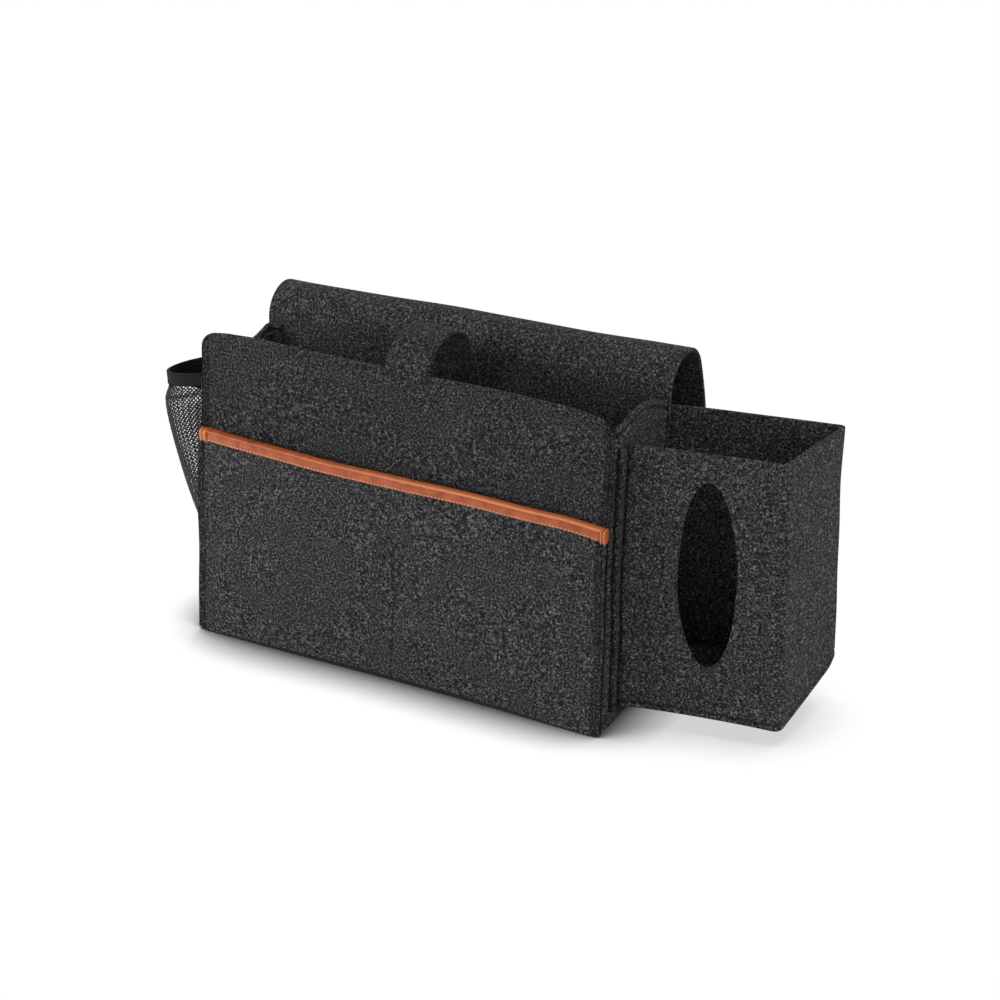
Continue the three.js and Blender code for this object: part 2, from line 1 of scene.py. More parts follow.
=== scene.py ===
# %% [markdown]
# # A bedside caddy of grey felt
# The real thing is sewn from flat pieces of wool felt 3 mm thick. A wide pocket hangs in the
# middle, a tissue pocket on the right, a net pocket for a bottle on the left, and a pocket
# for papers with a leather trim in front. The back is one long sheet: it bends over at the
# top into a flap that slides under a mattress.
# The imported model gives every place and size. Here each sheet is worked out again as a
# surface with felt's own thickness, soft edges and seams, because that is what the eye
# looks for in cloth. Lengths are in millimetres until a piece goes into its mesh.

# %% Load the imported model
import math
from functools import partial

import bpy
import numpy as np
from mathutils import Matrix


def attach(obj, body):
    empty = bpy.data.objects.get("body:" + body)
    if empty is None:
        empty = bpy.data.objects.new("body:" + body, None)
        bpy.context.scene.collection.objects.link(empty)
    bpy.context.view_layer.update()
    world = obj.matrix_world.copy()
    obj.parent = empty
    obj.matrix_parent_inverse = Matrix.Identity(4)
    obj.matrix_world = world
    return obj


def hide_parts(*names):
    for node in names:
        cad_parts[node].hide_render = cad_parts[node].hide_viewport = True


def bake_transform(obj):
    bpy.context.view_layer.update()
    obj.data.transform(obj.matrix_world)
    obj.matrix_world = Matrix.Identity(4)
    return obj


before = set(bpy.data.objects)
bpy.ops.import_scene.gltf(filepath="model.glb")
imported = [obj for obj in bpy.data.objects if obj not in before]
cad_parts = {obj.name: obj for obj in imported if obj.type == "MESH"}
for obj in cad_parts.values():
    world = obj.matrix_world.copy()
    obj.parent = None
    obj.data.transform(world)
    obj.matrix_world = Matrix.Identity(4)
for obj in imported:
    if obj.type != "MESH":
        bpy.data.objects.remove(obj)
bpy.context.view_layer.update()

MM = 0.001
CADDY, FLAP = "caddy", "flap"
scene = bpy.context.scene

# %% [markdown]
# ## The sizes that the sheets share
# The body of the caddy is a box of felt. Its front leans back by 8 mm over its height, as
# felt does when the side walls pull on it. These few numbers are the same as in the model.

# %% Shared sizes
WIDTH = 345.0
HALF = WIDTH / 2
HEIGHT = 246.0
FELT = 3.0
GAP = 0.3
FRONT_FACE = -49.2
BACK_MIDDLE = 51.0
LEAN = math.asin(8.0 / HEIGHT)
SEAM_X = 166.5


def smoothstep(t, low, high):
    """0 below low, 1 above high, and 3s^2 - 2s^3 of the share s between them."""
    s = np.clip((t - low) / (high - low), 0, 1)
    return s * s * (3 - 2 * s)


def settled(points):
    """Slow waves of under 1 mm move all pieces together, so that nothing sewn is ruler straight:
    each direction is a sum of sines of the place, and nothing waves at the floor. The front is
    also pulled out of square: its left edge 2 mm out, its right one 3.6 mm out and forward at the
    foot and 2.4 mm in at the top."""
    x, y, z = points.T
    lift = np.clip(z / 60, 0, 1)
    across = 0.4 * np.sin(z / 23 + y / 31 + 0.4) + 0.2 * np.sin(z / 11 + 1.3)
    through = 0.6 * np.sin(x / 29 + z / 41 + 2.1) + 0.3 * np.sin(x / 13 - z / 17)
    upward = 0.4 * np.sin(x / 37 + y / 53 + 0.7)
    rise, ahead = np.clip(z / HEIGHT, 0, 1), smoothstep(-y, 0, 49)
    left, right = smoothstep(-x, 60, HALF) * ahead, smoothstep(x, 60, HALF) * ahead
    pull_x = (3.6 - 6.0 * rise) * right - (2.0 + 0.5 * rise) * left
    pull_y = -3.6 * (1 - rise) * right
    waves = np.stack([across, through, upward], axis=1) * lift[:, None]
    return points + waves + np.stack([pull_x, pull_y, np.zeros_like(z)], axis=1)


def xyz(x, y, z):
    """Points from their three numbers, each a number or an array, spread to one common shape."""
    return np.stack(np.broadcast_arrays(x, y, z), axis=-1)


def on_front(x, out, up):
    """A point on the leaning front: out is how far behind the wall's face, up the height along it."""
    y = FRONT_FACE + out * math.cos(LEAN) + up * math.sin(LEAN)
    z = FELT * math.sin(LEAN) - out * math.sin(LEAN) + up * math.cos(LEAN)
    return xyz(x, y, z)


print("front leans", round(math.degrees(LEAN), 2), "degrees")

# %% [markdown]
# ## Colours and nodes
# Colours are written as sRGB hex, as a picture editor shows them. Blender's shaders want
# linear light, so one function converts them. A second one adds a node, sets it and links
# it, and a third starts an empty material, which keeps every material below to a few lines.

# %% Colour and node helpers
def linear(code):
    """sRGB hex to linear: c/12.92 below 0.04045, and ((c+0.055)/1.055)^2.4 above."""
    c = np.array([int(code[k : k + 2], 16) for k in (1, 3, 5)]) / 255
    c = np.where(c <= 0.04045, c / 12.92, ((c + 0.055) / 1.055) ** 2.4)
    return (*c.tolist(), 1.0)


def add_node(tree, kind, sockets=None, stops=(), **settings):
    """Adds a node, sets its own properties, gives a colour ramp its stops of (place, hex), and gives
    each named socket a value or a link. A node as the value stands for its first output."""
    node = tree.nodes.new("ShaderNode" + kind)
    for name, value in settings.items():
        setattr(node, name, value)
    for _ in stops[2:]:
        node.color_ramp.elements.new(0.5)
    for stop, (place, code) in zip(node.color_ramp.elements if stops else (), stops):
        stop.position, stop.color = place, linear(code)
    for socket, value in (sockets or {}).items():
        if isinstance(value, bpy.types.Node):
            value = value.outputs[0]
        if isinstance(value, bpy.types.NodeSocket):
            tree.links.new(value, node.inputs[socket])
        else:
            node.inputs[socket].default_value = value
    return node


def new_material(name):
    """An empty node material, and add_node made ready to add to it."""
    material = bpy.data.materials.new(name)
    material.use_nodes = True
    material.node_tree.nodes.clear()
    return material, partial(add_node, material.node_tree)


print("linear of middle grey:", [round(c, 3) for c in linear("#808080")])

# %% [markdown]
# ## Wool felt, needled and pressed
# The felt is charcoal wool and polyester, needled and pressed to 3 mm. Dark and pale fibres
# lie at random, so from a step away it is a mottled grey with pale specks of about 1 mm and
# no weave. Light sinks into it: there is no gloss, only a faint velvety sheen at grazing
# angles. The real fibres are 0.03 mm thick, far too fine for this picture, so the specks are
# drawn 1.6 mm wide. Three noises in Object coordinates give specks, single pale fibres and
# the slow clouds that every felt has. Along the seams the felt is drawn darker: partly the
# denser felt that a seam presses, partly painted shade in its grooves and creases. The front
# wall gets a darker copy of the felt, painted shade that makes it a touch darker than the pocket.

# %% Felt
SPECKS, CLOUDS, FIBRES = 640.0, 70.0, 900.0  # cells in a metre: 1.6, 14 and 1.1 mm wide


def felt_finish(name, *codes):
    """Specks pick a colour from dark to pale; clouds of 14 mm brighten or darken it by a few percent.
    A point attribute of the mesh, in millimetres, darkens the felt, to a quarter at 1.1 mm: partly the
    denser felt where a seam presses it, partly painted shade in seam grooves and creases."""
    material, node = new_material(name)
    place = node("TexCoord").outputs["Object"]
    longer = node("Mapping", {"Vector": place, "Scale": (1.0, 0.6, 1.0)})
    grain = {"Scale": SPECKS, "Detail": 3.0, "Roughness": 0.62}
    specks = node("TexNoise", {"Vector": longer, **grain})
    stops = tuple(zip((0.34, 0.48, 0.61, 0.74), codes))
    colour = node("ValToRGB", {"Fac": specks}, stops)
    clouds = node("TexNoise", {"Vector": place, "Scale": CLOUDS, "Detail": 4.0, "Roughness": 0.6})
    spread = {"From Min": 0.3, "From Max": 0.7, "To Min": 0.93, "To Max": 1.07}
    shade = node("MapRange", {"Value": clouds, **spread})
    # painted shade along seams and creases, together with the denser pressed felt, read from the mesh's
    # attribute
    pressed_and_shaded = node("Attribute", attribute_name="pressed_and_shaded").outputs["Fac"]
    darken = {"From Min": 0.15, "From Max": 1.1, "To Min": 1.0, "To Max": 0.25}
    groove = node("MapRange", {"Value": pressed_and_shaded, **darken})
    both = node("Math", {0: shade, 1: groove}, operation="MULTIPLY")
    shaded = node("VectorMath", {0: colour, "Scale": both}, operation="SCALE")
    upright = node("Mapping", {"Vector": place, "Scale": (1.0, 1.0, 0.35)})
    wander = {"Detail": 2.0, "Roughness": 0.7, "Distortion": 1.5}
    fibres = node("TexNoise", {"Vector": upright, "Scale": FIBRES, **wander})
    relief = node("Math", {0: specks, 1: fibres}, operation="ADD")
    bump = node("Bump", {"Height": relief, "Distance": 0.0006, "Strength": 0.6})
    dull = {"Roughness": 0.95, "Specular IOR Level": 0.08, "Sheen Weight": 0.03, "Sheen Roughness": 0.5}
    surface = node("BsdfPrincipled", {"Base Color": shaded, "Normal": bump, **dull})
    node("OutputMaterial", {"Surface": surface})
    return material


felt = felt_finish("charcoal_wool_felt", "#101010", "#2d2d2d", "#5a5a5a", "#9a9a99")
# a darker copy of the same felt: painted shade that makes the front wall darker than the pocket panel
felt_painted_darker = felt_finish("charcoal_wool_felt_painted_darker", "#0e0e0e", "#282828", "#505050", "#8a8a89")
print("felt:", len(felt.node_tree.nodes), "nodes")

# %% [markdown]
# ## Leather, net, elastic, tape and thread
# The trim is tan vegetable leather, split to 1.2 mm and polished with a warm iron. It keeps
# fine pores about 0.6 mm apart, its colour wanders a little, and it is the only piece here
# with a real highlight, to which a paler line along its fold adds a painted highlight. The
# net is knotted black polyester, the collar braided elastic with ribs 1.3 mm apart, and the
# tape that binds the net is a ribbed grosgrain. Threads are twisted polyester, black on the
# felt and nearly white on the leather.

# %% Leather
HIDE_CLOUDS, PORES = 110.0, 1600.0  # cells in a metre: 9 and 0.6 mm wide


def leather_finish(name, deep, body, worn, highlight_colour):
    """Colour wanders between deep and worn with 9 mm clouds; pores are dimples 0.6 mm apart. The second
    number of the piece's own UV map, 0 to 1 mm, is the share of a paler colour mixed in: a painted
    highlight along the fold's bright line and the tabs' ridges."""
    material, node = new_material(name)
    place = node("TexCoord").outputs["Object"]
    uneven = {"Scale": HIDE_CLOUDS, "Detail": 5.0, "Roughness": 0.6}
    clouds = node("TexNoise", {"Vector": place, **uneven})
    colour = node("ValToRGB", {"Fac": clouds}, ((0.34, deep), (0.5, body), (0.68, worn)))
    own_map = node("TexCoord").outputs["UV"]
    second = node("SeparateXYZ", {"Vector": own_map}).outputs["Y"]
    highlight_share = node("MapRange", {"Value": second, "From Max": MM})
    # the mix's sockets 0, 6 and 7 are its share and its two colours
    with_highlight = node("Mix", {0: highlight_share, 6: colour, 7: linear(highlight_colour)}, data_type="RGBA")
    pores = node("TexVoronoi", {"Vector": place, "Scale": PORES})
    bump = node("Bump", {"Height": pores, "Distance": 0.0002, "Strength": 0.35})
    wax = {"Roughness": 0.45, "Specular IOR Level": 0.4, "Coat Weight": 0.12, "Coat Roughness": 0.15}
    surface = node("BsdfPrincipled", {"Base Color": with_highlight.outputs[2], "Normal": bump, **wax})
    node("OutputMaterial", {"Surface": surface})
    return material


# the last colour is the paler tone of the painted highlight
leather = leather_finish("polished_tan_leather", "#92431c", "#ad5226", "#bd6232", "#e08a5a")
print("leather:", len(leather.node_tree.nodes), "nodes")

# %% Woven bands and threads
PLIES = 1400.0  # cells in a metre: 0.7 mm wide
WAVES = 0.314  # a wave texture of this scale over the rib's width has one wave in each rib


def band_finish(name, valley, ridge, rib_mm, gloss):
    """Ribs run along the band: a sine of the height on its own UV map, whose unit is a metre."""
    material, node = new_material(name)
    place = node("TexCoord").outputs["UV"]
    rib = {"Scale": WAVES / (rib_mm * MM), "Distortion": 0.6, "Detail": 2.0}
    ribs = node("TexWave", {"Vector": place, **rib}, bands_direction="Y").outputs["Fac"]
    colour = node("ValToRGB", {"Fac": ribs}, ((0.2, valley), (0.8, ridge)))
    bump = node("Bump", {"Height": ribs, "Distance": 0.0004, "Strength": 0.7})
    cloth = {"Roughness": gloss, "Specular IOR Level": 0.2, "Sheen Weight": 0.02}
    surface = node("BsdfPrincipled", {"Base Color": colour, "Normal": bump, **cloth})
    node("OutputMaterial", {"Surface": surface})
    return material


def yarn_finish(name, shade, light, gloss):
    """Twisted yarn: noise 0.7 mm wide picks between the two shades."""
    material, node = new_material(name)
    place = node("TexCoord").outputs["Object"]
    plies = node("TexNoise", {"Vector": place, "Scale": PLIES, "Detail": 2.0})
    colour = node("ValToRGB", {"Fac": plies}, ((0.35, shade), (0.65, light)))
    twist = {"Roughness": gloss, "Specular IOR Level": 0.4}
    surface = node("BsdfPrincipled", {"Base Color": colour, **twist})
    node("OutputMaterial", {"Surface": surface})
    return material


elastic = band_finish("braided_black_elastic", "#040404", "#161617", 1.3, 0.8)
tape = band_finish("black_grosgrain_tape", "#101011", "#2a2a2c", 1.0, 0.7)
net_yarn = yarn_finish("knotted_black_net", "#0e0e0f", "#29292b", 0.55)
felt_thread = yarn_finish("black_polyester_thread", "#060606", "#18181a", 0.55)
trim_thread = yarn_finish("pale_polyester_thread", "#c98a6a", "#e6bda3", 0.5)
print("materials:", len(bpy.data.materials))

# %% [markdown]
# ## From points to a piece
# Every piece is points and four-cornered faces worked out with numpy. A cloth piece starts as
# its middle surface. Giving it thickness by hand, and not with a modifier, lets the cut edge
# be rounded the way shears leave felt, and lets a seam press the felt thinner where it runs.

# %% Mesh helpers
def unit(vectors):
    """Each vector divided by its length."""
    return vectors / np.maximum(np.linalg.norm(vectors, axis=-1, keepdims=True), 1e-12)


def new_piece(name, points, faces, material, slot, body=CADDY, uv=None, pressed_and_shaded=None):
    """Points in millimetres and faces become a smooth mesh at the origin that rides on its body."""
    mesh = bpy.data.meshes.new(name)
    corners = [tuple(face) for group in faces for face in np.asarray(group).tolist()]
    mesh.from_pydata((settled(points) * MM).tolist(), [], corners)
    if uv is not None:
        loops = np.empty(len(mesh.loops), dtype=np.int32)
        mesh.loops.foreach_get("vertex_index", loops)
        layer = mesh.uv_layers.new(name="cloth")
        layer.uv.foreach_set("vector", (uv[loops] * MM).astype(np.float32).ravel())
    # the felt reads this attribute to draw painted shade along seams and creases
    if pressed_and_shaded is not None:
        values = mesh.attributes.new("pressed_and_shaded", "FLOAT", "POINT").data
        values.foreach_set("value", pressed_and_shaded.astype(np.float32))
    mesh.shade_smooth()
    mesh.materials.append(material)
    piece = bpy.data.objects.new(name, mesh)
    scene.collection.objects.link(piece)
    if body:
        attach(piece, body)
    print(f"{name}: {len(points)} points, {len(corners)} faces")
    return piece


def grid_faces(columns, rows):
    """Faces of a grid whose point number is column * rows + row, and the loop of its border."""
    k = np.arange(columns * rows).reshape(columns, rows)
    faces = np.stack([k[:-1, :-1], k[1:, :-1], k[1:, 1:], k[:-1, 1:]], axis=-1).reshape(-1, 4)
    rim = np.concatenate([k[:-1, 0], k[-1, :-1], k[:0:-1, -1], k[0, :0:-1]])
    return faces, rim


def surface_normals(points, faces):
    """The sum of the crossed diagonals of the faces round each point, made one long."""
    a, b, c, d = (points[faces[:, k]] for k in range(4))
    across = np.cross(c - a, d - b)
    total = np.zeros_like(points)
    for k in range(4):
        np.add.at(total, faces[:, k], across)
    return unit(total)


EDGE_TURNS = np.radians([64.0, 40.0, 14.0, -14.0, -40.0, -64.0])
EDGE_POWER = 0.6


def thicken(points, faces, rims, thick=FELT, ease=0.9, pinch=0.0):
    """Front and back are the middle surface moved half the thickness, less the pinch, along its
    normal. Round each rim a squarish half circle joins them: ease * cos^0.6 out, half * sin^0.6
    through."""
    normal = surface_normals(points, faces)
    half = (np.full(len(points), thick / 2) - pinch)[:, None] * normal
    outward = np.zeros_like(points)
    for rim in rims:
        along = points[np.roll(rim, -1)] - points[np.roll(rim, 1)]
        outward[rim] = unit(np.cross(along, normal[rim]))
    inner = points - outward * ease
    layers = [inner + half, inner - half]
    groups = [faces, faces[:, ::-1] + len(points)]
    count = 2 * len(points)
    for rim in rims:
        rows = [rim]
        for turn in EDGE_TURNS:
            out = ease * math.cos(turn) ** EDGE_POWER
            through = math.copysign(abs(math.sin(turn)) ** EDGE_POWER, turn)
            layers.append(inner[rim] + outward[rim] * out + half[rim] * through)
            rows.append(np.arange(len(rim)) + count)
            count += len(rim)
        rows.append(rim + len(points))
        for near, far in zip(rows, rows[1:]):
            groups.append(np.stack([near, far, np.roll(far, -1), np.roll(near, -1)], axis=1))
    return np.concatenate(layers), groups


def on_both_faces(values, rims):
    """Values of the middle points, put on the points that thicken makes, in its order."""
    return np.concatenate([values, values, *[values[rim] for rim in rims for _ in EDGE_TURNS]])


def felt_piece(name, middle, body=CADDY, pinch=None):
    """A grid of middle points, columns by rows, becomes a sheet with thickness and rounded edges."""
    columns, rows = middle.shape[:2]
    faces, rim = grid_faces(columns, rows)
    pinch = np.zeros(columns * rows) if pinch is None else pinch.reshape(-1)
    points, groups = thicken(middle.reshape(-1, 3), faces, [rim], pinch=pinch)
    # the pinch also goes to the felt's colour, as painted shade along the seams
    return new_piece(name, points, groups, felt, "felt", body, pressed_and_shaded=on_both_faces(pinch, [rim]))


def woven_piece(name, middle, flat, material, slot, **edge):
    """The same for a woven band, which also gets its flat cut, two of flat's numbers, as a UV map."""
    faces, rim = grid_faces(*middle.shape[:2])
    points, groups = thicken(middle.reshape(-1, 3), faces, [rim], **edge)
    uv = on_both_faces(flat[..., :2].reshape(-1, 2), [rim])
    return new_piece(name, points, groups, material, slot, uv=uv)


def stations(low, high, step, near=(), ends=()):
    """Even stations from low to high, with finer ones within 4 mm of each seam named in near,
    and others at the places in ends."""
    even = np.linspace(low, high, int(round((high - low) / step)) + 1)
    fine = [seam + np.arange(-4.0, 4.01, 0.8) for seam in near]
    every = np.sort(np.concatenate([even, *fine, np.asarray(ends, float)]))
    every = every[(every > low + 0.08) & (every < high - 0.08)]
    every = every[np.concatenate([[True], np.diff(every) > 0.08])]
    return np.concatenate([[low], every, [high]])


def seam_press(x, seam, depth, width=1.2):
    """How far a seam presses each face in: depth * exp(-((x - seam) / width)^2)."""
    return depth * np.exp(-(((x - seam) / width) ** 2))


# %% [markdown]
# ## The front wall and its strap
# One upright sheet, 345 by 246 mm. Its top edge sags a little to the right and its upper
# corners are cut round. It stands on its two lower corners: between them the lower edge
# bows up by 3 mm, because the side seams pull. A grid of columns and rows is enough. The
# columns crowd together at the seams, so that the seam can press a groove, and at the
# corners, so that they come out round.
# A strap 36 mm wide holds the main pocket open. It is cut in one with the wall: no edge shows
# where it leaves it. Two quarter ellipses that meet level at the top carry it to the back,
# and the same columns run on from the wall into the strap, so both are one mesh.

# %% Front wall
BOW = 3.0
FOOT_ROUND = 12.0
EDGE_X = [-172.5, -165, -151, -138, -124, -60, -12, 24, 80, 120, 140, 150, 162, 172.5]
EDGE_HEIGHT = [242.5, 243.2, 245.2, 245.9, 246.8, 246.2, 244.9, 244.9, 245.9, 245, 244, 243, 241, 238.8]
CORNER_LEFT = (12.0, 11.0)
CORNER_RIGHT = (13.0, 8.0)
corner_turns = np.radians(np.arange(8.0, 90.0, 9.0))


def foot_of_front(x):
    """The lower edge: a parabola from 0 at the corners to the bow in the middle, and both corners
    rounded off, the left one by 2 mm and the right one by 1 mm."""
    left = 2.2 * np.clip(1 - (HALF + x) / FOOT_ROUND, 0, 1) ** 2
    right = 1.0 * np.clip(1 - (HALF - x) / FOOT_ROUND, 0, 1) ** 2
    return BOW * (1 - (x / HALF) ** 2) + left + right


def edge_press(x):
    """The side seam's groove, a second shallow one 3.4 mm further out, and the edge squeezed thin.
    The felt's colour darkens by the same depths, as painted shade.
    """
    away = np.abs(x)
    thin = 0.45 * smoothstep(away, SEAM_X, SEAM_X + 2)
    return seam_press(away, SEAM_X, 0.85) + seam_press(away, SEAM_X + 3.4, 0.4, 0.8) + thin


def corner_drop(inside, size):
    """A quarter ellipse: nothing until the corner starts, its whole height at the side edge."""
    wide, tall = size
    share = np.clip(1 - inside / wide, 0, 1)
    return tall * (1 - np.sqrt(1 - share**2))


def top_of_wall(x):
    """The upper edge: straight runs between measured heights, less the drop of both corners."""
    height = np.interp(x, EDGE_X, EDGE_HEIGHT)
    return height - corner_drop(HALF + x, CORNER_LEFT) - corner_drop(HALF - x, CORNER_RIGHT)


run_in = 1 - np.cos(corner_turns)
round_ends = np.concatenate([CORNER_LEFT[0] * run_in - HALF, HALF - CORNER_RIGHT[0] * run_in])
STRAP_LEFT, STRAP_RIGHT = -14.6, 21.4
PEAK_Y, PEAK_Z = -2.0, 267.5
BACK_LOW, BACK_HIGH = 126.0, 151.0
SIDE_NEAR, SIDE_FAR = -44.4, 47.7
wall_x = stations(-HALF, HALF, 3.0, near=(-SEAM_X, SEAM_X), ends=round_ends)
from_strap = np.abs(wall_x[:, None] - [STRAP_LEFT, STRAP_RIGHT]).min(axis=1)
wall_x = np.unique(np.round(np.append(wall_x[from_strap > 0.5], [STRAP_LEFT, STRAP_RIGHT]), 4))
wall_v = np.linspace(0, 1, 83)
X, V = np.meshgrid(wall_x, wall_v, indexing="ij")
wall_up = foot_of_front(X) + (top_of_wall(X) - foot_of_front(X)) * V
wall_middle = on_front(X, FELT / 2, wall_up)
side_press = edge_press(X)


def strap_line(y, z):
    """From the wall's edge at y and z a quarter ellipse rises to the peak, another falls to the back,
    and a straight end lies on it."""
    turn = np.linspace(0, np.pi / 2, 30)[1:]
    rise = np.stack([PEAK_Y - (PEAK_Y - y) * np.cos(turn), z + (PEAK_Z - z) * np.sin(turn)], axis=1)
    fall_y = PEAK_Y + (SIDE_FAR - PEAK_Y) * np.sin(turn)
    fall_z = BACK_HIGH + (PEAK_Z - BACK_HIGH) * np.cos(turn)
    low = np.arange(BACK_HIGH - 3.0, BACK_LOW - 0.1, -3.0)
    end = np.stack([np.full_like(low, SIDE_FAR), low], axis=1)
    return np.concatenate([rise, np.stack([fall_y, fall_z], axis=1), end])


columns, rows = X.shape
first, last = (int(np.argmin(np.abs(wall_x - edge))) for edge in (STRAP_LEFT, STRAP_RIGHT))
lines = np.array([strap_line(*wall_middle[c, -1, 1:]) for c in range(first, last + 1)])
strap = xyz(wall_x[first : last + 1, None], lines[..., 0], lines[..., 1])
wall_number = np.arange(columns * rows).reshape(columns, rows)
strap_number = np.arange(strap.shape[0] * strap.shape[1]).reshape(strap.shape[:2]) + columns * rows
climb = np.concatenate([wall_number[first : last + 1, -1:], strap_number], axis=1)
wall_faces = grid_faces(columns, rows)[0]
strap_faces = climb.ravel()[grid_faces(*climb.shape)[0]]
outline = np.concatenate(
    [
        wall_number[:-1, 0],
        wall_number[-1, :-1],
        wall_number[:last:-1, -1],
        climb[-1, :-1],
        climb[:0:-1, -1],
        climb[0, :0:-1],
        wall_number[first:0:-1, -1],
        wall_number[0, :0:-1],
    ]
)
front_points = np.concatenate([wall_middle.reshape(-1, 3), strap.reshape(-1, 3)])
front_press = np.concatenate([side_press.reshape(-1), np.zeros(strap_number.size)])
front_faces = np.concatenate([wall_faces, strap_faces])
points, groups = thicken(front_points, front_faces, [outline], pinch=front_press)
# the seams' depths also go to the felt's colour, as painted shade along the seams
pressed_and_shaded = on_both_faces(front_press, [outline])
# painted shade: the front wall and its strap take the darker copy of the felt
front_wall = new_piece("felt_front_wall", points, groups, felt_painted_darker, "felt", pressed_and_shaded=pressed_and_shaded)
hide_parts("front_wall", "centre_bridge")
strap_length = float(np.linalg.norm(np.diff(strap[0], axis=0), axis=1).sum()) * MM
flat = (0.345, round(0.246 + strap_length, 3))
print("strap is", round(strap_length, 3), "m long")

# %% [markdown]
# ## The pocket in front
# A second sheet of the same width and 168 mm high is sewn on at both sides, at the foot and up
# the middle, which makes two lobes that swell by 5 mm. Near the mouth the middle seam stops
# and the two lobes run into one. The swell is the product of a curve across the pocket and
# a quarter sine up it, so it is nought at every seam and full from half height.

# %% Pocket panel
PANEL_LEFT, PANEL_RIGHT = 168.0, 165.0
SWELL = 5.0
LOBE_FROM, LOBE_TO = 6.0, 160.5
LEATHER = 1.2


def stand_off(x, rise):
    """Distance between panel and wall: the swell of two lobes, which become one near the mouth,
    plus room for the leather that grows with the height."""
    lobe = np.clip((np.abs(x) - LOBE_FROM) / (LOBE_TO - LOBE_FROM), 0, 1)
    two = 1 - np.abs(2 * lobe - 1) ** 3
    one = 1 - np.minimum(np.abs(x) / LOBE_TO, 1) ** 4
    shape = two + (one - two) * smoothstep(rise, 0.6, 0.95)
    return SWELL * shape * np.sin(np.pi / 2 * np.minimum(rise / 0.5, 1)) + (LEATHER + GAP) * rise


def panel_top(x):
    """The panel's upper edge falls in a straight line and droops by 2.8 mm at its right end."""
    return PANEL_LEFT + (PANEL_RIGHT - PANEL_LEFT) * (x + HALF) / WIDTH - 2.8 * smoothstep(x, 135, 175)


def panel_out(x, rise):
    """Where the panel's middle lies, counted from the wall's face: in front of it."""
    return -GAP - stand_off(x, rise) - FELT / 2


panel_x = stations(-HALF, HALF, 3.0, near=(-SEAM_X, 0.0, SEAM_X))
panel_v = np.linspace(0, 1, 61)
X, V = np.meshgrid(panel_x, panel_v, indexing="ij")
panel_up = foot_of_front(X) + (panel_top(X) - foot_of_front(X)) * V
press = edge_press(X) + seam_press(X, 0.0, 0.75) * (1 - smoothstep(V, 0.62, 0.72))
panel = felt_piece("felt_pocket_panel", on_front(X, panel_out(X, V), panel_up), pinch=press)
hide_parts("front_pocket_panel")

# %% [markdown]
# ## The leather trim
# A strip of leather is folded over the panel's upper edge and stitched along its lower edge.
# The fold is fuller than the band below it, and its front edge catches the light as one
# bright line, strengthened by a paler painted highlight that grows towards the right. The
# strip has one profile, a thin hook, carried along the panel's edge. At both ends the leather
# is turned over once more, which makes a small upright tab with two ridges, each with a
# painted highlight; the left tab is also paler all over. The tab is the outline of the hook,
# carried over the last 5 to 7 mm and closed round.

# %% Leather band
BAND = np.array(
    [
        (2.3, -8.75), (2.9, -8.6), (3.05, -8.1), (3.05, -6.6), (3.05, -5.2), (3.05, -4.2),
        (3.15, -3.4), (3.4, -2.6), (3.8, -2.1), (4.15, -1.65), (4.3, -1.1), (4.2, -0.6), (3.9, -0.15),
        (3.4, 0.15), (2.4, 0.5), (1.3, 0.8), (0.0, 0.95), (-1.3, 0.85), (-2.3, 0.4), (-2.9, -0.5),
        (-3.0, -2.0), (-3.0, -5.0), (-2.95, -6.7), (-2.6, -7.0), (-2.0, -6.9), (-1.85, -6.4),
        (-1.8, -3.5), (-1.75, -1.2), (-1.2, -0.4), (0.0, -0.15), (1.2, -0.4), (1.75, -1.2),
        (1.8, -4.0), (1.85, -7.6), (1.95, -8.5),
    ]
)
TAB_LEFT, TAB_RIGHT = -163.2, 169.2
PAINTED_HIGHLIGHT = np.zeros(len(BAND))
PAINTED_HIGHLIGHT[9:18] = [0.1, 0.35, 0.85, 1.0, 0.9, 0.5, 0.25, 0.25, 0.25]


def carried(profile, x):
    """Rings of profile points, each (towards the front, up), set round the panel's upper edge at x."""
    out = panel_out(x[:, None], 1.0) - profile[:, 0]
    up = panel_top(x[:, None]) + profile[:, 1]
    return on_front(x[:, None], out, up)


def tube(rings):
    """Joins rings of equal length into a closed tube, with a flat cap at each end."""
    count, size = rings.shape[:2]
    k = np.arange(count * size).reshape(count, size)
    side = np.stack([k[:-1], k[1:], np.roll(k[1:], -1, 1), np.roll(k[:-1], -1, 1)], axis=-1)
    return rings.reshape(-1, 3), [side.reshape(-1, 4), k[:1], k[-1:, ::-1]]


def leather_piece(name, rings, highlight_share):
    """A tube of leather whose UV map's second number, 0 to 1 mm, is the share of painted highlight at
    each point.
    """
    highlight_share = np.broadcast_to(highlight_share, rings.shape[:2]).reshape(-1)
    uv = np.stack([np.zeros_like(highlight_share), highlight_share], axis=1)
    return new_piece(name, *tube(rings), leather, "leather", uv=uv)


band_x = np.linspace(TAB_LEFT + 0.2, TAB_RIGHT - 0.2, 133)
# painted highlight: a paler line on the fold's front edge, fading out towards the left end
highlight_share = smoothstep(band_x, -150, 70)[:, None] * PAINTED_HIGHLIGHT
band = leather_piece("leather_band", carried(BAND, band_x), highlight_share)
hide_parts("leather_trim")

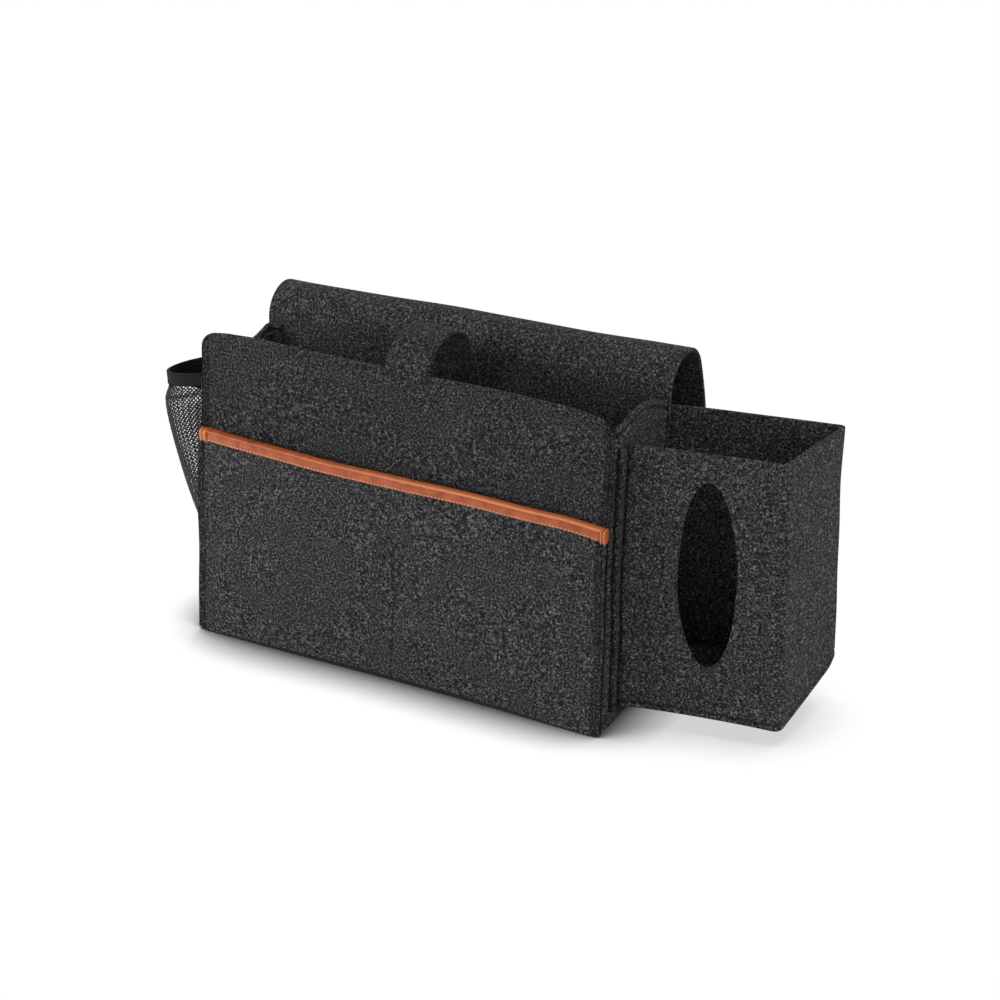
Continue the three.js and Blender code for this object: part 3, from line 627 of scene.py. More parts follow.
# %% Leather tabs at both ends
TAB = np.array(
    [
        (2.2, -9.9), (3.1, -9.6), (3.6, -8.6), (3.8, -6.5), (4.0, -4.5), (4.3, -3.0),
        (4.5, -1.4), (4.1, 0.0), (3.2, 1.2), (1.8, 1.9), (0.0, 2.1), (-1.6, 1.8),
        (-2.7, 0.8), (-3.0, -1.0), (-3.0, -4.0), (-3.0, -7.0), (-2.7, -9.0), (-1.6, -9.9), (0.0, -10.0),
    ]
)
TAB_MIDDLE = np.array([0.4, -4.0])
tab_x = np.array([0.0, 0.25, 0.8, 1.4, 2.0, 2.6, 3.1, 3.6, 4.2, 4.8, 5.3, 5.8, 6.2, 6.5, 6.7, 6.8])
tab_size = np.array(
    [0.9, 1.0, 1.1, 1.13, 1.05, 0.92, 0.86, 0.92, 1.05, 1.13, 1.12, 1.02, 0.88, 0.7, 0.42, 0.12]
)
TAB_TALL, TAB_DROP, TAB_LONG = {-1: 0.84, 1: 0.85}, {-1: 0.5, 1: 0.8}, {-1: 1.0, 1: 0.68}
TAB_PALER_ALL_OVER = {-1: 0.35, 1: 0.05}


def tab_rings(side):
    """The tab's outline grows and shrinks along x into two ridges, and closes round at its outer end."""
    inner_end = TAB_RIGHT - 0.3 if side > 0 else TAB_LEFT + 0.3
    along = inner_end + side * tab_x * TAB_LONG[side]
    swell = tab_size if side > 0 else np.minimum(tab_size, 1) * 0.6 + tab_size * 0.4
    shape = TAB_MIDDLE + (TAB - TAB_MIDDLE) * swell[:, None, None]
    shape[..., 0] = np.maximum(shape[..., 0], -3.0)
    shape[..., 1] = TAB_MIDDLE[1] + (shape[..., 1] - TAB_MIDDLE[1]) * TAB_TALL[side] - TAB_DROP[side]
    place = np.clip(along, -HALF, HALF)[:, None]
    out = panel_out(place, 1.0) - shape[..., 0]
    rings = on_front(along[:, None], out, panel_top(place) + shape[..., 1])
    return rings if side > 0 else rings[::-1]


for name, side in (("left", -1), ("right", 1)):
    # painted highlight on the tab's two ridges, and the left tab painted paler all over
    ridge = smoothstep(tab_size, 0.98, 1.12)[::side, None] * 0.8
    highlight_share = np.maximum(ridge, TAB_PALER_ALL_OVER[side])
    tab = leather_piece(f"leather_tab_{name}", tab_rings(side), highlight_share)
    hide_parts(f"trim_end_{name}")

# %% [markdown]
# ## The side walls and the floor
# Each side wall is a narrow sheet with both long edges folded in, so seen from above it is a
# flat C whose ends are sewn to the front wall and the back. The upper edge of the right one
# swells, and that of the left one sags under the bottle pocket. A path in plan with rounded
# folds gives the columns, and the height of each column gives the rows. The floor is a plain
# sheet that lifts with the front wall's lower edge.

# %% Folded paths
def folded_path(corners, radii, step=3.0):
    """A line through the corners. Each inner corner turns on an arc of its radius that touches both
    runs, and the runs are cut into steps."""
    corners = [np.array(c, float) for c in corners]
    points = [corners[0]]
    for before, corner, after, radius in zip(corners, corners[1:], corners[2:], radii):
        enter, leave = unit(corner - before), unit(after - corner)
        turn = math.atan2(enter[0] * leave[1] - enter[1] * leave[0], enter @ leave)
        start = corner - enter * radius * math.tan(abs(turn) / 2)
        side = math.copysign(1.0, turn) * np.array([-enter[1], enter[0]])
        angles = np.linspace(0, turn, max(5, math.ceil(abs(turn) * radius / 0.9)))
        spin = np.array([[np.cos(angles), -np.sin(angles)], [np.sin(angles), np.cos(angles)]])
        centre = start + side * radius
        points += list((spin.transpose(2, 0, 1) @ (start - centre)) + centre)
    points.append(corners[-1])
    line = [points[0]]
    for here, there in zip(points, points[1:]):
        cuts = max(1, math.ceil(np.linalg.norm(there - here) / step))
        line += [here + (there - here) * k / cuts for k in range(1, cuts + 1)]
    return np.array(line)


def lengths_along(line):
    """Distance walked along a line to each of its points."""
    return np.concatenate([[0], np.cumsum(np.linalg.norm(np.diff(line, axis=0), axis=1))])


# %% Side walls
SIDE_X = HALF - FELT / 2
FLANGE_X = 160.5
HEM = 5.0
RIGHT_TOP, LEFT_TOP = (231.0, 227.0, 11.0), (230.0, 226.5, -10.5)
SIDE_TALL = RIGHT_TOP[0]


def side_top(share, front, back, crown):
    """Height runs straight from front to back, plus crown * 4s(1 - s)."""
    return front + (back - front) * share + crown * 4 * share * (1 - share)


def side_wall(name, side, edge):
    """The front edge leans with the wall, and the seam draws the first 10 mm behind it in by 2.4 mm."""
    near = [(FLANGE_X, SIDE_NEAR), (SIDE_X - 2.4, SIDE_NEAR), (SIDE_X, -34.0)]
    plan = folded_path([*near, (SIDE_X, SIDE_FAR), (FLANGE_X, SIDE_FAR)], [2.0, 9.0, 4.0])
    if side < 0:
        plan = plan[::-1] * (-1, 1)
    share = np.clip((plan[:, 1] - SIDE_NEAR) / (SIDE_FAR - SIDE_NEAR), 0, 1)[:, None]
    top = side_top(share, *edge)
    z = 0.2 + (top - 0.2) * stations(0.0, SIDE_TALL, 3.0, near=(SIDE_TALL - HEM,)) / SIDE_TALL
    y = plan[:, 1:] + z * math.tan(LEAN) * (1 - share)
    # the hem seam presses 1.1 mm, and the felt draws it as a dark line of painted shade
    return felt_piece(name, xyz(plan[:, :1], y, z), pinch=seam_press(top - z, HEM, 1.1, 1.2))


right_side = side_wall("felt_right_side", 1, RIGHT_TOP)
left_side = side_wall("felt_left_side", -1, LEFT_TOP)
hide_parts("right_gusset")
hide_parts("left_gusset")

# %% Floor of the main pocket
FLOOR_HALF, FLOOR_NEAR, FLOOR_FAR = 169.2, -45.8, 49.2
floor_x, floor_y = stations(-FLOOR_HALF, FLOOR_HALF, 3.0), stations(FLOOR_NEAR, FLOOR_FAR, 3.0)
X, Y = np.meshgrid(floor_x, floor_y, indexing="ij")
share = (Y - FLOOR_NEAR) / (FLOOR_FAR - FLOOR_NEAR)
floor_z = FELT / 2 + foot_of_front(X) * (1 - 0.55 * share)
pocket_floor = felt_piece("felt_floor", xyz(X, Y, floor_z))
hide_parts("bottom_panel")

# %% [markdown]
# ## The back, the bend and the flap
# The back is one sheet, 345 by 505 mm. It rises from the floor, bends over in a wide arch
# and hangs down behind as the flap. Felt this thick doesn't crease there, it makes a round
# bend, a little tighter at the left. In the flap's joint the sheet has to bend and not to
# break, so it is one mesh; it rides on no body.

# %% Back sheet
BEND_HEIGHT = 229.9
BEND_RADIUS = 27.5
BEND_TURN = math.radians(160)
FLAP_LENGTH = 200.0
TIGHTER_LEFT = 5.0
SLOPE_HIGH, SLOPE_LOW = 20, 6


def back_line():
    """Side view of the sheet: up, round the arch, then down while the slope falls from 20 to 6
    degrees. Each point has its y, its z and how far round the arch it is."""
    rise = np.arange(0.0, BEND_HEIGHT, 3.0)
    up = np.stack([np.full_like(rise, BACK_MIDDLE), rise, np.zeros_like(rise)], axis=1)
    turn = np.linspace(0, BEND_TURN, 41)
    y = BACK_MIDDLE + BEND_RADIUS * (1 - np.cos(turn))
    arch = np.stack([y, BEND_HEIGHT + BEND_RADIUS * np.sin(turn), turn], axis=1)
    walked = np.linspace(0, 1, 68)
    slope = np.radians(SLOPE_HIGH + (SLOPE_LOW - SLOPE_HIGH) * (walked[:-1] + walked[1:]) / 2)
    step = FLAP_LENGTH * np.diff(walked)
    down_y = y[-1] + np.cumsum(step * np.sin(slope))
    down_z = arch[-1, 1] - np.cumsum(step * np.cos(slope))
    down = np.stack([down_y, down_z, np.full(len(down_y), BEND_TURN)], axis=1)
    return np.concatenate([up, arch, down])


line = back_line()
back_x = stations(-HALF, HALF, 3.0, near=(-SEAM_X, SEAM_X))
less = -TIGHTER_LEFT * (HALF - back_x[:, None]) / WIDTH
y = line[:, 0] + less * (1 - np.cos(line[:, 2]))
z = line[:, 1] + less * np.sin(line[:, 2])
middle = xyz(back_x[:, None], y, z)
# the side seams end where the bend starts: a point past it has a turn, which lifts it out of range
below = 1 - smoothstep(line[:, 1] + 900 * line[:, 2], 222, 230)
back_press = seam_press(np.abs(middle[..., 0]), SEAM_X, 0.7) * below
back_sheet = felt_piece("felt_back_sheet", middle, body=None, pinch=back_press)
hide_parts("back_panel", "arch_bend", "mattress_flap")
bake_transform(back_sheet)

# %% [markdown]
# ## The tissue pocket
# One sheet starts flat on the side wall, turns out as the pocket's front, goes round two
# corners and ends flat behind the back. An oval hole 45 by 143 mm is punched in its front.
# A grid with its middle columns and rows taken out leaves a square window, and rings that
# change step by step from that window to the oval fill it. So the sheet stays one mesh of
# four-cornered faces, and the hole's edge gets the same round cut as the outer edges.

# %% Tissue pocket sizes
TISSUE_X = 174.3
TISSUE_NEAR = -22.5
TISSUE_OUT = 120.0
TISSUE_YAW = math.radians(9.6)
TISSUE_BACK = 98.0
TISSUE_TOP, TISSUE_TOP_BACK_LEFT, TISSUE_TOP_BACK_RIGHT = 219.5, 223.7, 218.6
TISSUE_FAR = np.array([300.4, 96.18])
TISSUE_FLOOR, TISSUE_TALL, LEAN_IN = 14.0, 206.0, 9.0
BACK_Y, BACK_LEFT = 54.3, 76.8
FOOT_SEAM = 4.5
plan = folded_path(
    [
        (TISSUE_X, -35.5),
        (TISSUE_X, -25.3),
        (190.0, TISSUE_NEAR + 15.7 * math.tan(TISSUE_YAW)),
        (TISSUE_X + TISSUE_OUT, -2.2),
        TISSUE_FAR,
        (TISSUE_X, BACK_Y),
        (159.3, BACK_Y),
    ],
    [2.0, 20.0, 6.0, 3.0, 4.0],
)
plan_length = lengths_along(plan)
FOLD_WALKED = 10.0


def plan_at(walked):
    """The plan's x and y at a distance walked along it."""
    return tuple(np.interp(walked, plan_length, plan[:, k]) for k in (0, 1))


def share_out(x):
    """0 at the side wall, 1 at the pocket's outer side."""
    return np.clip((x - TISSUE_X) / TISSUE_OUT, 0, 1)


def share_back(x, y):
    """0 on the line of the pocket's front, 1 at the back of its outer side."""
    front = TISSUE_NEAR + (x - TISSUE_X) * math.tan(TISSUE_YAW)
    return np.clip((y - front) / TISSUE_BACK, 0, 1)


def tissue_foot(x, y):
    """The lower edge rises 19 mm to the back, bows up 1 mm in the middle of the front, ends 1 mm
    lower at its outer side and is cut round by 7 mm at the far corner."""
    out = share_out(x)
    corner = np.clip(1 - np.hypot(x - TISSUE_FAR[0], y - TISSUE_FAR[1]) / 18, 0, 1)
    return TISSUE_FLOOR + 19 * share_back(x, y) + 6 * out * (1 - out) - 1.0 * out + 7 * corner**2


def tissue_top(x, y):
    """The upper edge runs from 220 mm in front to 224 and 219 mm at the back's two ends."""
    out = share_out(x)
    rear = TISSUE_TOP_BACK_LEFT + (TISSUE_TOP_BACK_RIGHT - TISSUE_TOP_BACK_LEFT) * out
    reach = BACK_LEFT + (TISSUE_BACK - BACK_LEFT) * out
    return TISSUE_TOP + (rear - TISSUE_TOP) * np.minimum(share_back(x, y) * TISSUE_BACK / reach, 1)


def tissue_point(walked, z):
    """A point of the sheet from the distance walked along its plan and its height. It leans in by
    9 mm, and its far corner is hollow by 1.7 mm at half height."""
    x, y = plan_at(walked)
    rise = (z - TISSUE_FLOOR) / TISSUE_TALL
    hollow = 1.7 * share_back(x, y) * np.sin(np.pi * np.clip(rise, 0, 1))
    return xyz(x - share_out(x) * (LEAN_IN * rise + hollow), y, z)


print("tissue sheet's plan is", round(plan_length[-1]), "mm long")

# %% Tissue sheet with its hole
HOLE_HALF_WIDTH, HOLE_HALF_HEIGHT = 22.5, 71.5
HOLE_ALONG, HOLE_CENTRE = 64.5, 126.5
HOLE_TILT = math.radians(1.2)
hole_x = TISSUE_X + HOLE_ALONG * math.cos(TISSUE_YAW)
hole_walked = float(np.interp(hole_x, plan[:60, 0], plan_length[:60]))

climb = stations(0.0, TISSUE_TALL, 3.0, near=(FOOT_SEAM,)) / TISSUE_TALL
rows = len(climb)
foot = tissue_foot(plan[:, 0], plan[:, 1])[:, None]
top = tissue_top(plan[:, 0], plan[:, 1])[:, None]
height = foot + (top - foot) * climb
walked = np.broadcast_to(plan_length[:, None], height.shape)
sheet_faces, outer_rim = grid_faces(*height.shape)

inside = (np.abs(walked - hole_walked) < HOLE_HALF_WIDTH + 5) & (
    np.abs(height - HOLE_CENTRE) < HOLE_HALF_HEIGHT + 5
)
columns_in = np.flatnonzero(inside.any(axis=1))
rows_in = np.flatnonzero(inside[columns_in].any(axis=0))
c0, c1, r0, r1 = columns_in[0], columns_in[-1], rows_in[0], rows_in[-1]
number = np.arange(height.size).reshape(height.shape)
window = np.concatenate(
    [number[c0:c1, r0], number[c1, r0:r1], number[c1:c0:-1, r1], number[c0, r1:r0:-1]]
)
column, row = sheet_faces[:, 0] // rows, sheet_faces[:, 0] % rows
kept = ~((column >= c0) & (column < c1) & (row >= r0) & (row < r1))

flat_x, flat_z = walked.reshape(-1), height.reshape(-1)
from_x, from_z = flat_x[window] - hole_walked, flat_z[window] - HOLE_CENTRE
angle = np.arctan2(from_z / HOLE_HALF_HEIGHT, from_x / HOLE_HALF_WIDTH)
oval_x, oval_z = HOLE_HALF_WIDTH * np.cos(angle), HOLE_HALF_HEIGHT * np.sin(angle)
to_x = oval_x - oval_z * math.tan(HOLE_TILT)
ring_shares = np.array([0.3, 0.55, 0.75, 0.88, 1.0])[:, None]
ring_x = hole_walked + from_x + (to_x - from_x) * ring_shares
ring_z = HOLE_CENTRE + from_z + (oval_z - from_z) * ring_shares
all_x = np.concatenate([flat_x, ring_x.reshape(-1)])
all_z = np.concatenate([flat_z, ring_z.reshape(-1)])
ring_number = np.arange(ring_x.size).reshape(ring_x.shape) + height.size
rings = [window, *ring_number]
patch = [
    np.stack([near, np.roll(near, -1), np.roll(far, -1), far], axis=1)
    for near, far in zip(rings, rings[1:])
]
faces = np.concatenate([sheet_faces[kept], *patch])
used, faces = np.unique(faces, return_inverse=True)
faces = faces.reshape(-1, 4)
renumber = np.full(len(all_x), -1)
renumber[used] = np.arange(len(used))
hole_rim = renumber[ring_number[-1]][::-1]
middle = tissue_point(all_x[used], all_z[used])
above_foot = all_z[used] - tissue_foot(*plan_at(all_x[used]))
tissue_press = seam_press(above_foot, FOOT_SEAM, 0.9) + seam_press(all_x[used], FOLD_WALKED, 1.25, 1.8)
rims = [renumber[outer_rim], hole_rim]
points, groups = thicken(middle, faces, rims, pinch=tissue_press)
# painted shade: the flange beside the side wall, in the crease before the fold, is darkened further
flange_painted_shade = 0.45 * (1 - smoothstep(all_x[used], FOLD_WALKED - 1, FOLD_WALKED + 2))
pressed_and_shaded = on_both_faces(tissue_press + flange_painted_shade, rims)
tissue = new_piece("felt_tissue_sheet", points, groups, felt, "felt", pressed_and_shaded=pressed_and_shaded)
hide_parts("tissue_front", "tissue_side", "tissue_back")

# %% Tissue pocket floor
near_y = TISSUE_NEAR + (FELT / 2 + GAP) / math.cos(TISSUE_YAW)
back_slope = (TISSUE_FAR[1] - BACK_Y) / (TISSUE_FAR[0] - TISSUE_X)
PLATE_NEAR, PLATE_FAR = 172.9, 292.4
out_x = stations(PLATE_NEAR, PLATE_FAR, 3.0)[:, None]
near_line = near_y + (out_x - TISSUE_X) * math.tan(TISSUE_YAW)
far_line = BACK_Y + (out_x - TISSUE_X) * back_slope - (FELT / 2 + GAP) * math.hypot(1, back_slope)
far_share = np.linspace(0, 1, 34)
y = near_line + (far_line - near_line) * far_share
x = out_x + (TISSUE_FAR[0] - TISSUE_X - TISSUE_OUT) * share_out(out_x) * far_share
z = tissue_foot(x, y) + FELT / 2
x = x - LEAN_IN * share_out(x) * (z - TISSUE_FLOOR) / TISSUE_TALL
tissue_floor = felt_piece("felt_tissue_floor", xyz(x, y, z))
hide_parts("tissue_bottom")

# %% [markdown]
# ## The bottle pocket
# A pouch of black net is sewn to the left side wall under a tape and gathered at its mouth
# into an elastic collar. Round its girth the pouch is half an ellipse. Its reach grows
# quickly from the foot and is drawn in a little at the collar. The net has real strands, two
# families that cross at 45 degrees with 2.5 mm between them: strand i of one meets strand j
# of the other (i + j) / 2 pitches round the girth and (i - j) / 2 pitches up, and passes over
# and under in turn.

# %% Net pouch
NET_X = -174.3
NET_Y = -8.8
NET_FOOT, NET_HEIGHT = 47.5, 138.5
NET_TALL, RIM_LENGTH = 152.0, 128.0
NET_PITCH = 3.5
STRAND_WIDE, STRAND_THICK = 0.84, 0.5
RIM_CLIMB = 12.0
GIRTH_STEPS = 240


def pouch_size(rise):
    """How far the pouch reaches out and half its width, from the share of its height."""
    full = 1 - (1 - np.minimum(rise / 0.9, 1)) ** 1.5
    return 2.5 + 49.5 * full - 4 * smoothstep(rise, 0.9, 1.0), 20 + 9 * rise


def pouch(turn, rise, proud=0.0):
    """A point of the pouch: turn 0 to pi round the half ellipse, rise 0 to 1 from foot to collar. The
    rim climbs towards the wall at both ends."""
    reach, half = pouch_size(rise)
    x = NET_X - (reach + proud) * np.sin(turn)
    y = NET_Y - (half + proud) * np.cos(turn)
    z = NET_FOOT + NET_HEIGHT * rise + RIM_CLIMB * (1 - np.sin(turn)) * rise
    return xyz(x, y, z)


def turn_at(wide, rise):
    """The turn at which the cloth is so many millimetres wide of the pouch's outermost line. The half
    ellipse is walked in small steps, and the turn is read off where the length walked is reached."""
    reach, half = pouch_size(rise)
    turn = np.linspace(0, np.pi, GIRTH_STEPS + 1)
    step = np.hypot(reach[:, None] * np.cos(turn), half[:, None] * np.sin(turn)) * (turn[1] - turn[0])
    walked = np.cumsum(step, axis=1) - step / 2
    walked = walked - walked[:, [GIRTH_STEPS // 2]]
    number = np.clip((walked < wide[:, None]).sum(1), 1, GIRTH_STEPS)
    row = np.arange(len(wide))
    low, high = walked[row, number - 1], walked[row, number]
    share = np.clip((wide - low) / (high - low), 0, 1)
    return turn[number - 1] + share * (turn[1] - turn[0]), walked[:, -1]


def ribbon(line, outward, width, thick):
    """A flat four-cornered strand along a line: its corners are half the width sideways and half the
    thickness outwards."""
    along = unit(np.gradient(line, axis=0))
    side = unit(np.cross(along, outward)) * width / 2
    face = outward * thick / 2
    left, right = line - side, line + side
    return tube(np.stack([left - face, right - face, right + face, left + face], axis=1))


def joined(parts):
    """Several (points, faces) sets as one."""
    offset, points, groups = 0, [], []
    for part_points, part_groups in parts:
        points.append(part_points)
        groups += [np.asarray(group) + offset for group in part_groups]
        offset += len(part_points)
    return np.concatenate(points), groups


def net_strands(family):
    """All strands of one family, sampled where they cross the other one. The mesh keeps its pitch
    down to the foot, so strands run out of the cloth's edge where the pouch narrows."""
    strands, reach = [], math.ceil(NET_TALL / NET_PITCH) + 40
    for i in range(-reach, reach):
        j = np.arange(-reach, reach)
        wide, tall = family * (i + j) * NET_PITCH / 2, (i - j) * NET_PITCH / 2
        ok = (tall >= 0) & (tall <= NET_TALL)
        wide, rise, knot = wide[ok], tall[ok] / NET_TALL, j[ok]
        if len(wide) < 3:
            continue
        turn, edge = turn_at(wide, rise)
        ok = np.abs(wide) <= edge
        if ok.sum() < 3:
            continue
        turn, rise, knot = turn[ok], rise[ok], knot[ok]
        line = pouch(turn, rise, 0.2 * family * np.where(knot % 2, 1, -1))
        outward = unit(pouch(turn, rise, 1.0) - pouch(turn, rise, 0.0) + 1e-6)
        strands.append(ribbon(line, outward, STRAND_WIDE, STRAND_THICK))
    return strands


net = new_piece("net_pouch", *joined(net_strands(1) + net_strands(-1)), net_yarn, "net")
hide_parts("bottle_net")

# %% Elastic collar
COLLAR, DEEPER, GATHERS = 10.5, 16.0, 28
girth = np.linspace(0, 1, 141)[:, None]
up = np.linspace(0, COLLAR, 13)
flare = 0.3 + 1.0 * (up / COLLAR) ** 1.6
deeper = DEEPER * smoothstep(girth, 0.45, 0.8) * (1 - up / COLLAR)
middle = pouch(np.pi * girth, 1 - deeper / NET_HEIGHT, flare) + xyz(0.0, 0.0, up + 0.2)
flat = xyz(girth * RIM_LENGTH, up, 0.0)
gathers = 0.45 * (0.5 + 0.5 * np.cos(girth * 2 * np.pi * GATHERS)) * (1 - 0.7 * up / COLLAR)
edge = {"thick": 2.2, "ease": 0.9, "pinch": gathers.reshape(-1)}
collar = woven_piece("ribbed_collar", middle, flat, elastic, "elastic", **edge)
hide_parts("elastic_collar")

# %% Binding tape
TAPE_X = -173.4
TAPE_WIDTH = 7.0
seam = folded_path(
    [(NET_Y - 29.5, 207.5), (NET_Y - 20.5, 45.0), (NET_Y + 20.5, 45.0), (NET_Y + 29.5, 207.5)],
    [5.0, 5.0],
)
along = unit(np.gradient(seam, axis=0))
sideways = np.stack([along[:, 1], -along[:, 0]], axis=1)
offset = np.linspace(-TAPE_WIDTH / 2, TAPE_WIDTH / 2, 8)
on_wall = seam[:, None, :] + sideways[:, None, :] * offset[None, :, None]
middle = xyz(TAPE_X, on_wall[..., 0], on_wall[..., 1])
flat = xyz(lengths_along(seam)[:, None], offset, 0.0)
binding = woven_piece("binding_tape", middle, flat, tape, "binding", thick=1.2, ease=0.4)
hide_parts("net_binding")

# %% [markdown]
# ## Stitches
# Every seam is a row of lock stitches: short lengths of thread that dive into the cloth at
# both ends. On the felt the thread is black and all but lost in its groove. Along the
# trim it is pale and meant to be seen: one stitch every 3 mm. One small capsule of 26 faces is
# worked out once and placed on every stitch with whole arrays.

# %% Stitch helper
def stitch_row(line, outward, pitch=3.2, length=2.4, radius=0.42, sink=0.1):
    """Capsules along a line, one every pitch. Across, a capsule is a circle; along, its ends taper."""
    walked = lengths_along(line)
    at = np.arange(pitch / 2, walked[-1], pitch)

    def take(values):
        return np.stack([np.interp(at, walked, values[:, k]) for k in range(3)], axis=1)

    centre, face = take(line), unit(take(np.broadcast_to(outward, line.shape)))
    along = unit(take(np.gradient(line, axis=0)))
    face = unit(face - along * (face * along).sum(1, keepdims=True))
    side = np.cross(face, along)
    run = np.array([-1.0, -0.72, 0.0, 0.72, 1.0]) * length / 2
    size = np.array([0.25, 0.85, 1.0, 0.85, 0.25]) * radius
    dive = np.array([-0.5, -0.1, 0.0, -0.1, -0.5]) * radius
    turn = np.arange(6) * np.pi / 3
    run, size, dive, turn = run[:, None, None], size[:, None, None], dive[:, None, None], turn[:, None]
    centre, along, side, face = (v[:, None, None] for v in (centre, along, side, face))
    ring = centre + along * run + side * size * np.cos(turn) + face * (size * np.sin(turn) + dive - sink)
    count = len(centre)
    k = np.arange(count * 30).reshape(count, 5, 6)
    low, high = k[:, :-1], k[:, 1:]
    sides = np.stack([np.roll(low, -1, 2), np.roll(high, -1, 2), high, low], axis=-1)
    return ring.reshape(-1, 3), [sides.reshape(-1, 4), k[:, 0], k[:, -1, ::-1]]


def front_row(x, up, out, **sizes):
    """A row on the leaning front, from its heights and how far behind the wall's face it lies."""
    return stitch_row(on_front(x, out, up), [0.0, -math.cos(LEAN), math.sin(LEAN)], **sizes)


# %% Seams of the felt
# each row starts and stops a few millimetres short of an edge, the leather or another row
rows_of_thread = []
for x in (-SEAM_X, SEAM_X):
    low = np.linspace(4, 154, 60)
    rise = (low - foot_of_front(x)) / (panel_top(x) - foot_of_front(x))
    rows_of_thread.append(front_row(x, low, panel_out(x, rise) - FELT / 2 + 0.8))
    high = np.linspace(170, 236, 30)
    rows_of_thread.append(front_row(x, high, np.full_like(high, 0.8)))
    back_z = np.linspace(4, 224, 80)
    rows_of_thread.append(stitch_row(xyz(x, BACK_MIDDLE + FELT / 2 - 0.7, back_z), [0.0, 1.0, 0.0]))
low = np.linspace(10, 128, 40)
rise = (low - BOW) / (panel_top(0) - BOW)
rows_of_thread.append(front_row(0.0, low, panel_out(0.0, rise) - FELT / 2 + 0.6))

walked = np.linspace(22, plan_length[-1] - 22, 140)
middle = tissue_point(walked, tissue_foot(*plan_at(walked)) + FOOT_SEAM)
way = unit(np.gradient(middle, axis=0))
outward = np.stack([way[:, 1], -way[:, 0], np.zeros(len(way))], axis=1)
rows_of_thread.append(stitch_row(middle + outward * (FELT / 2 - 0.6), outward))
up = np.linspace(18, 216, 60)
rows_of_thread.append(stitch_row(xyz(TISSUE_X + FELT / 2, -29.5, up), [1.0, 0.0, 0.0]))
share = np.linspace(0.02, 0.98, 60)
top = side_top(share, *RIGHT_TOP)
back = SIDE_NEAR + (SIDE_FAR - SIDE_NEAR) * share + (top - HEM) * math.tan(LEAN) * (1 - share)
rows_of_thread.append(stitch_row(xyz(SIDE_X + FELT / 2 - 0.7, back, top - HEM), [1.0, 0.0, 0.0]))
new_piece("seam_threads", *joined(rows_of_thread), felt_thread, "felt")

# %% Seam of the trim
x = np.linspace(TAB_LEFT + 1, TAB_RIGHT - 1, 200)
sizes = {"pitch": 3.0, "length": 2.1, "radius": 0.5}
row = front_row(x, panel_top(x) - 7.6, panel_out(x, 1.0) - 3.05, **sizes)
new_piece("trim_stitches", *row, trim_thread, "leather")

# %% [markdown]
# ## Floor, light and camera
# The caddy stands on a plain white floor in soft studio light: one large lamp from the front
# left and above, a weaker one from the right, and a pale surround. To the camera the floor is
# pure white with a painted soft shadow: the share of the sky that the caddy hides within
# 68 mm darkens it. Right of the main body the painted shadow is weakened, to about a third
# under the tissue pocket.
# The camera has a long lens and looks from the front right, from a little above.

# %% Floor and surround
FLOOR_SIZE = 12.0
SHADE_REACH = 0.068


def seen_directly(node):
    """1 for the camera's own rays and for those that reach it by a mirror or through glass."""
    ray = node("LightPath").outputs
    seen = node("Math", {0: ray["Is Camera Ray"], 1: ray["Is Glossy Ray"]}, operation="MAXIMUM")
    return node("Math", {0: seen, 1: ray["Is Transmission Ray"]}, operation="MAXIMUM")


floor_mesh = bpy.data.meshes.new("studio_floor")
corners = [(x * FLOOR_SIZE / 2, y * FLOOR_SIZE / 2, 0) for x, y in ((-1, -1), (1, -1), (1, 1), (-1, 1))]
floor_mesh.from_pydata(corners, [], [(0, 1, 2, 3)])
floor = bpy.data.objects.new("studio_floor", floor_mesh)
scene.collection.objects.link(floor)

material, node = new_material("white_studio_floor")
# painted shadow: the camera sees the floor as white light, dimmed where the caddy hides the sky
hidden = node("AmbientOcclusion", {"Distance": SHADE_REACH}, samples=24).outputs["AO"]
hides = {"From Min": 0.46, "From Max": 0.86, "To Min": 1.0, "To Max": 0.0}
shade = node("MapRange", {"Value": hidden, **hides})
place = node("TexCoord").outputs["Object"]
rightwards = node("SeparateXYZ", {"Vector": place}).outputs["X"]
# the painted shadow is weakened right of the main body, under the tissue pocket
fades = {"From Min": 0.172, "From Max": 0.215, "To Min": 0.98, "To Max": 0.36}
shadow_weakened_right = node("MapRange", {"Value": rightwards, **fades})
depth = node("Math", {0: shade, 1: shadow_weakened_right}, operation="MULTIPLY")
left_over = node("Math", {0: 1.0, 1: depth}, operation="SUBTRACT")
white = node("Emission", {"Color": (1.0, 1.0, 1.0, 1.0), "Strength": left_over})
plain = node("BsdfDiffuse", {"Color": (0.9, 0.9, 0.9, 1.0)})
whole = node("MixShader", {0: seen_directly(node), 1: plain, 2: white})
node("OutputMaterial", {"Surface": whole})
floor_mesh.materials.append(material)

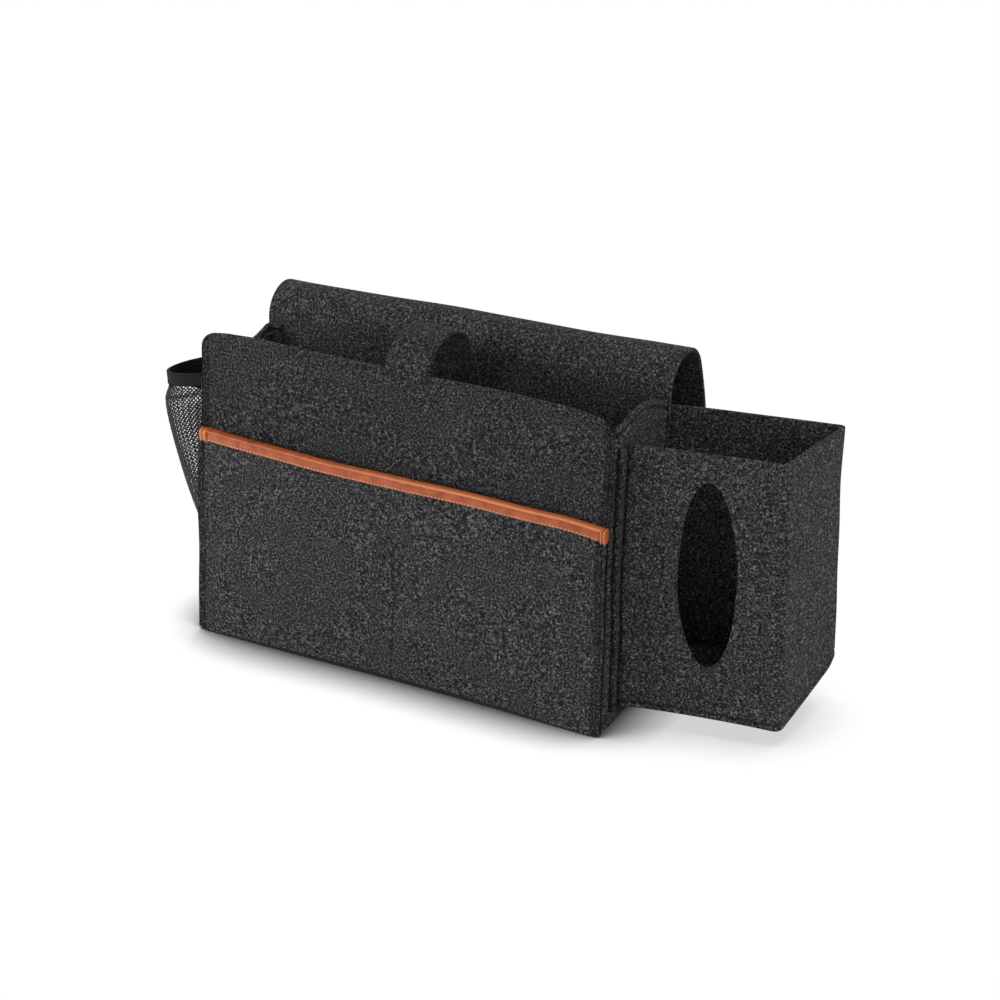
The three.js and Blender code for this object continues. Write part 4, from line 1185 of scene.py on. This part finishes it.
world = bpy.data.worlds.new("pale_surround")
scene.world = world
world.use_nodes = True
world.node_tree.nodes.clear()
node = partial(add_node, world.node_tree)
soft = node("Background", {"Color": (1.0, 1.0, 1.0, 1.0), "Strength": 0.6})
pure = node("Background", {"Color": (1.0, 1.0, 1.0, 1.0), "Strength": 1.0})
whole = node("MixShader", {0: seen_directly(node), 1: soft, 2: pure})
node("OutputWorld", {"Surface": whole})
print("floor is", FLOOR_SIZE, "m wide")

# %% Lamps
CENTRE = (0.06, 0.0, 0.12)


def stand(name, data, right, upright, back, place):
    """A lamp or camera at its place: x to its right, y upright, z straight back from where it looks."""
    turn = np.eye(4)
    turn[:3] = np.stack([right, upright, back, place], axis=1)
    thing = bpy.data.objects.new(name, data)
    scene.collection.objects.link(thing)
    thing.matrix_world = [list(row) for row in turn.T]
    return thing


def soft_lamp(name, place, size, power):
    """A square area lamp turned from its place towards the middle of the caddy."""
    data = bpy.data.lights.new(name, "AREA")
    data.shape, data.size, data.energy = "SQUARE", size, power
    back = unit(np.array(place) - np.array(CENTRE))
    right = unit(np.cross([0.0, 0.0, 1.0], back))
    stand(name, data, right, np.cross(back, right), back, place)


soft_lamp("key_from_front_left", (-1.3, -1.25, 0.6), 1.0, 15.6)
soft_lamp("fill_from_right", (2.2, -0.2, 1.1), 1.5, 9.3)
print("lamps:", len(bpy.data.lights))

# %% Camera
AZIMUTH, ELEVATION, ROLL = (math.radians(a) for a in (27.06, 22.85, 1.76))
TARGET = np.array([57.7, 7.5, 139.6]) * MM
DISTANCE = 1866.3 * MM
level = np.array([math.cos(AZIMUTH), math.sin(AZIMUTH), 0.0])
flat_back = np.array([math.sin(AZIMUTH), -math.cos(AZIMUTH), 0.0])
back = math.cos(ELEVATION) * flat_back + [0.0, 0.0, math.sin(ELEVATION)]
upright = np.cross(back, level)
rolled = math.cos(ROLL) * level + math.sin(ROLL) * upright
rolled_up = math.cos(ROLL) * upright - math.sin(ROLL) * level
camera_data = bpy.data.cameras.new("camera")
camera_data.lens, camera_data.sensor_width = 90.0, 36.0
scene.camera = stand("camera", camera_data, rolled, rolled_up, back, TARGET + back * DISTANCE)
scene.view_settings.view_transform = "Standard"
print("camera is", DISTANCE, "m from", TARGET.tolist())
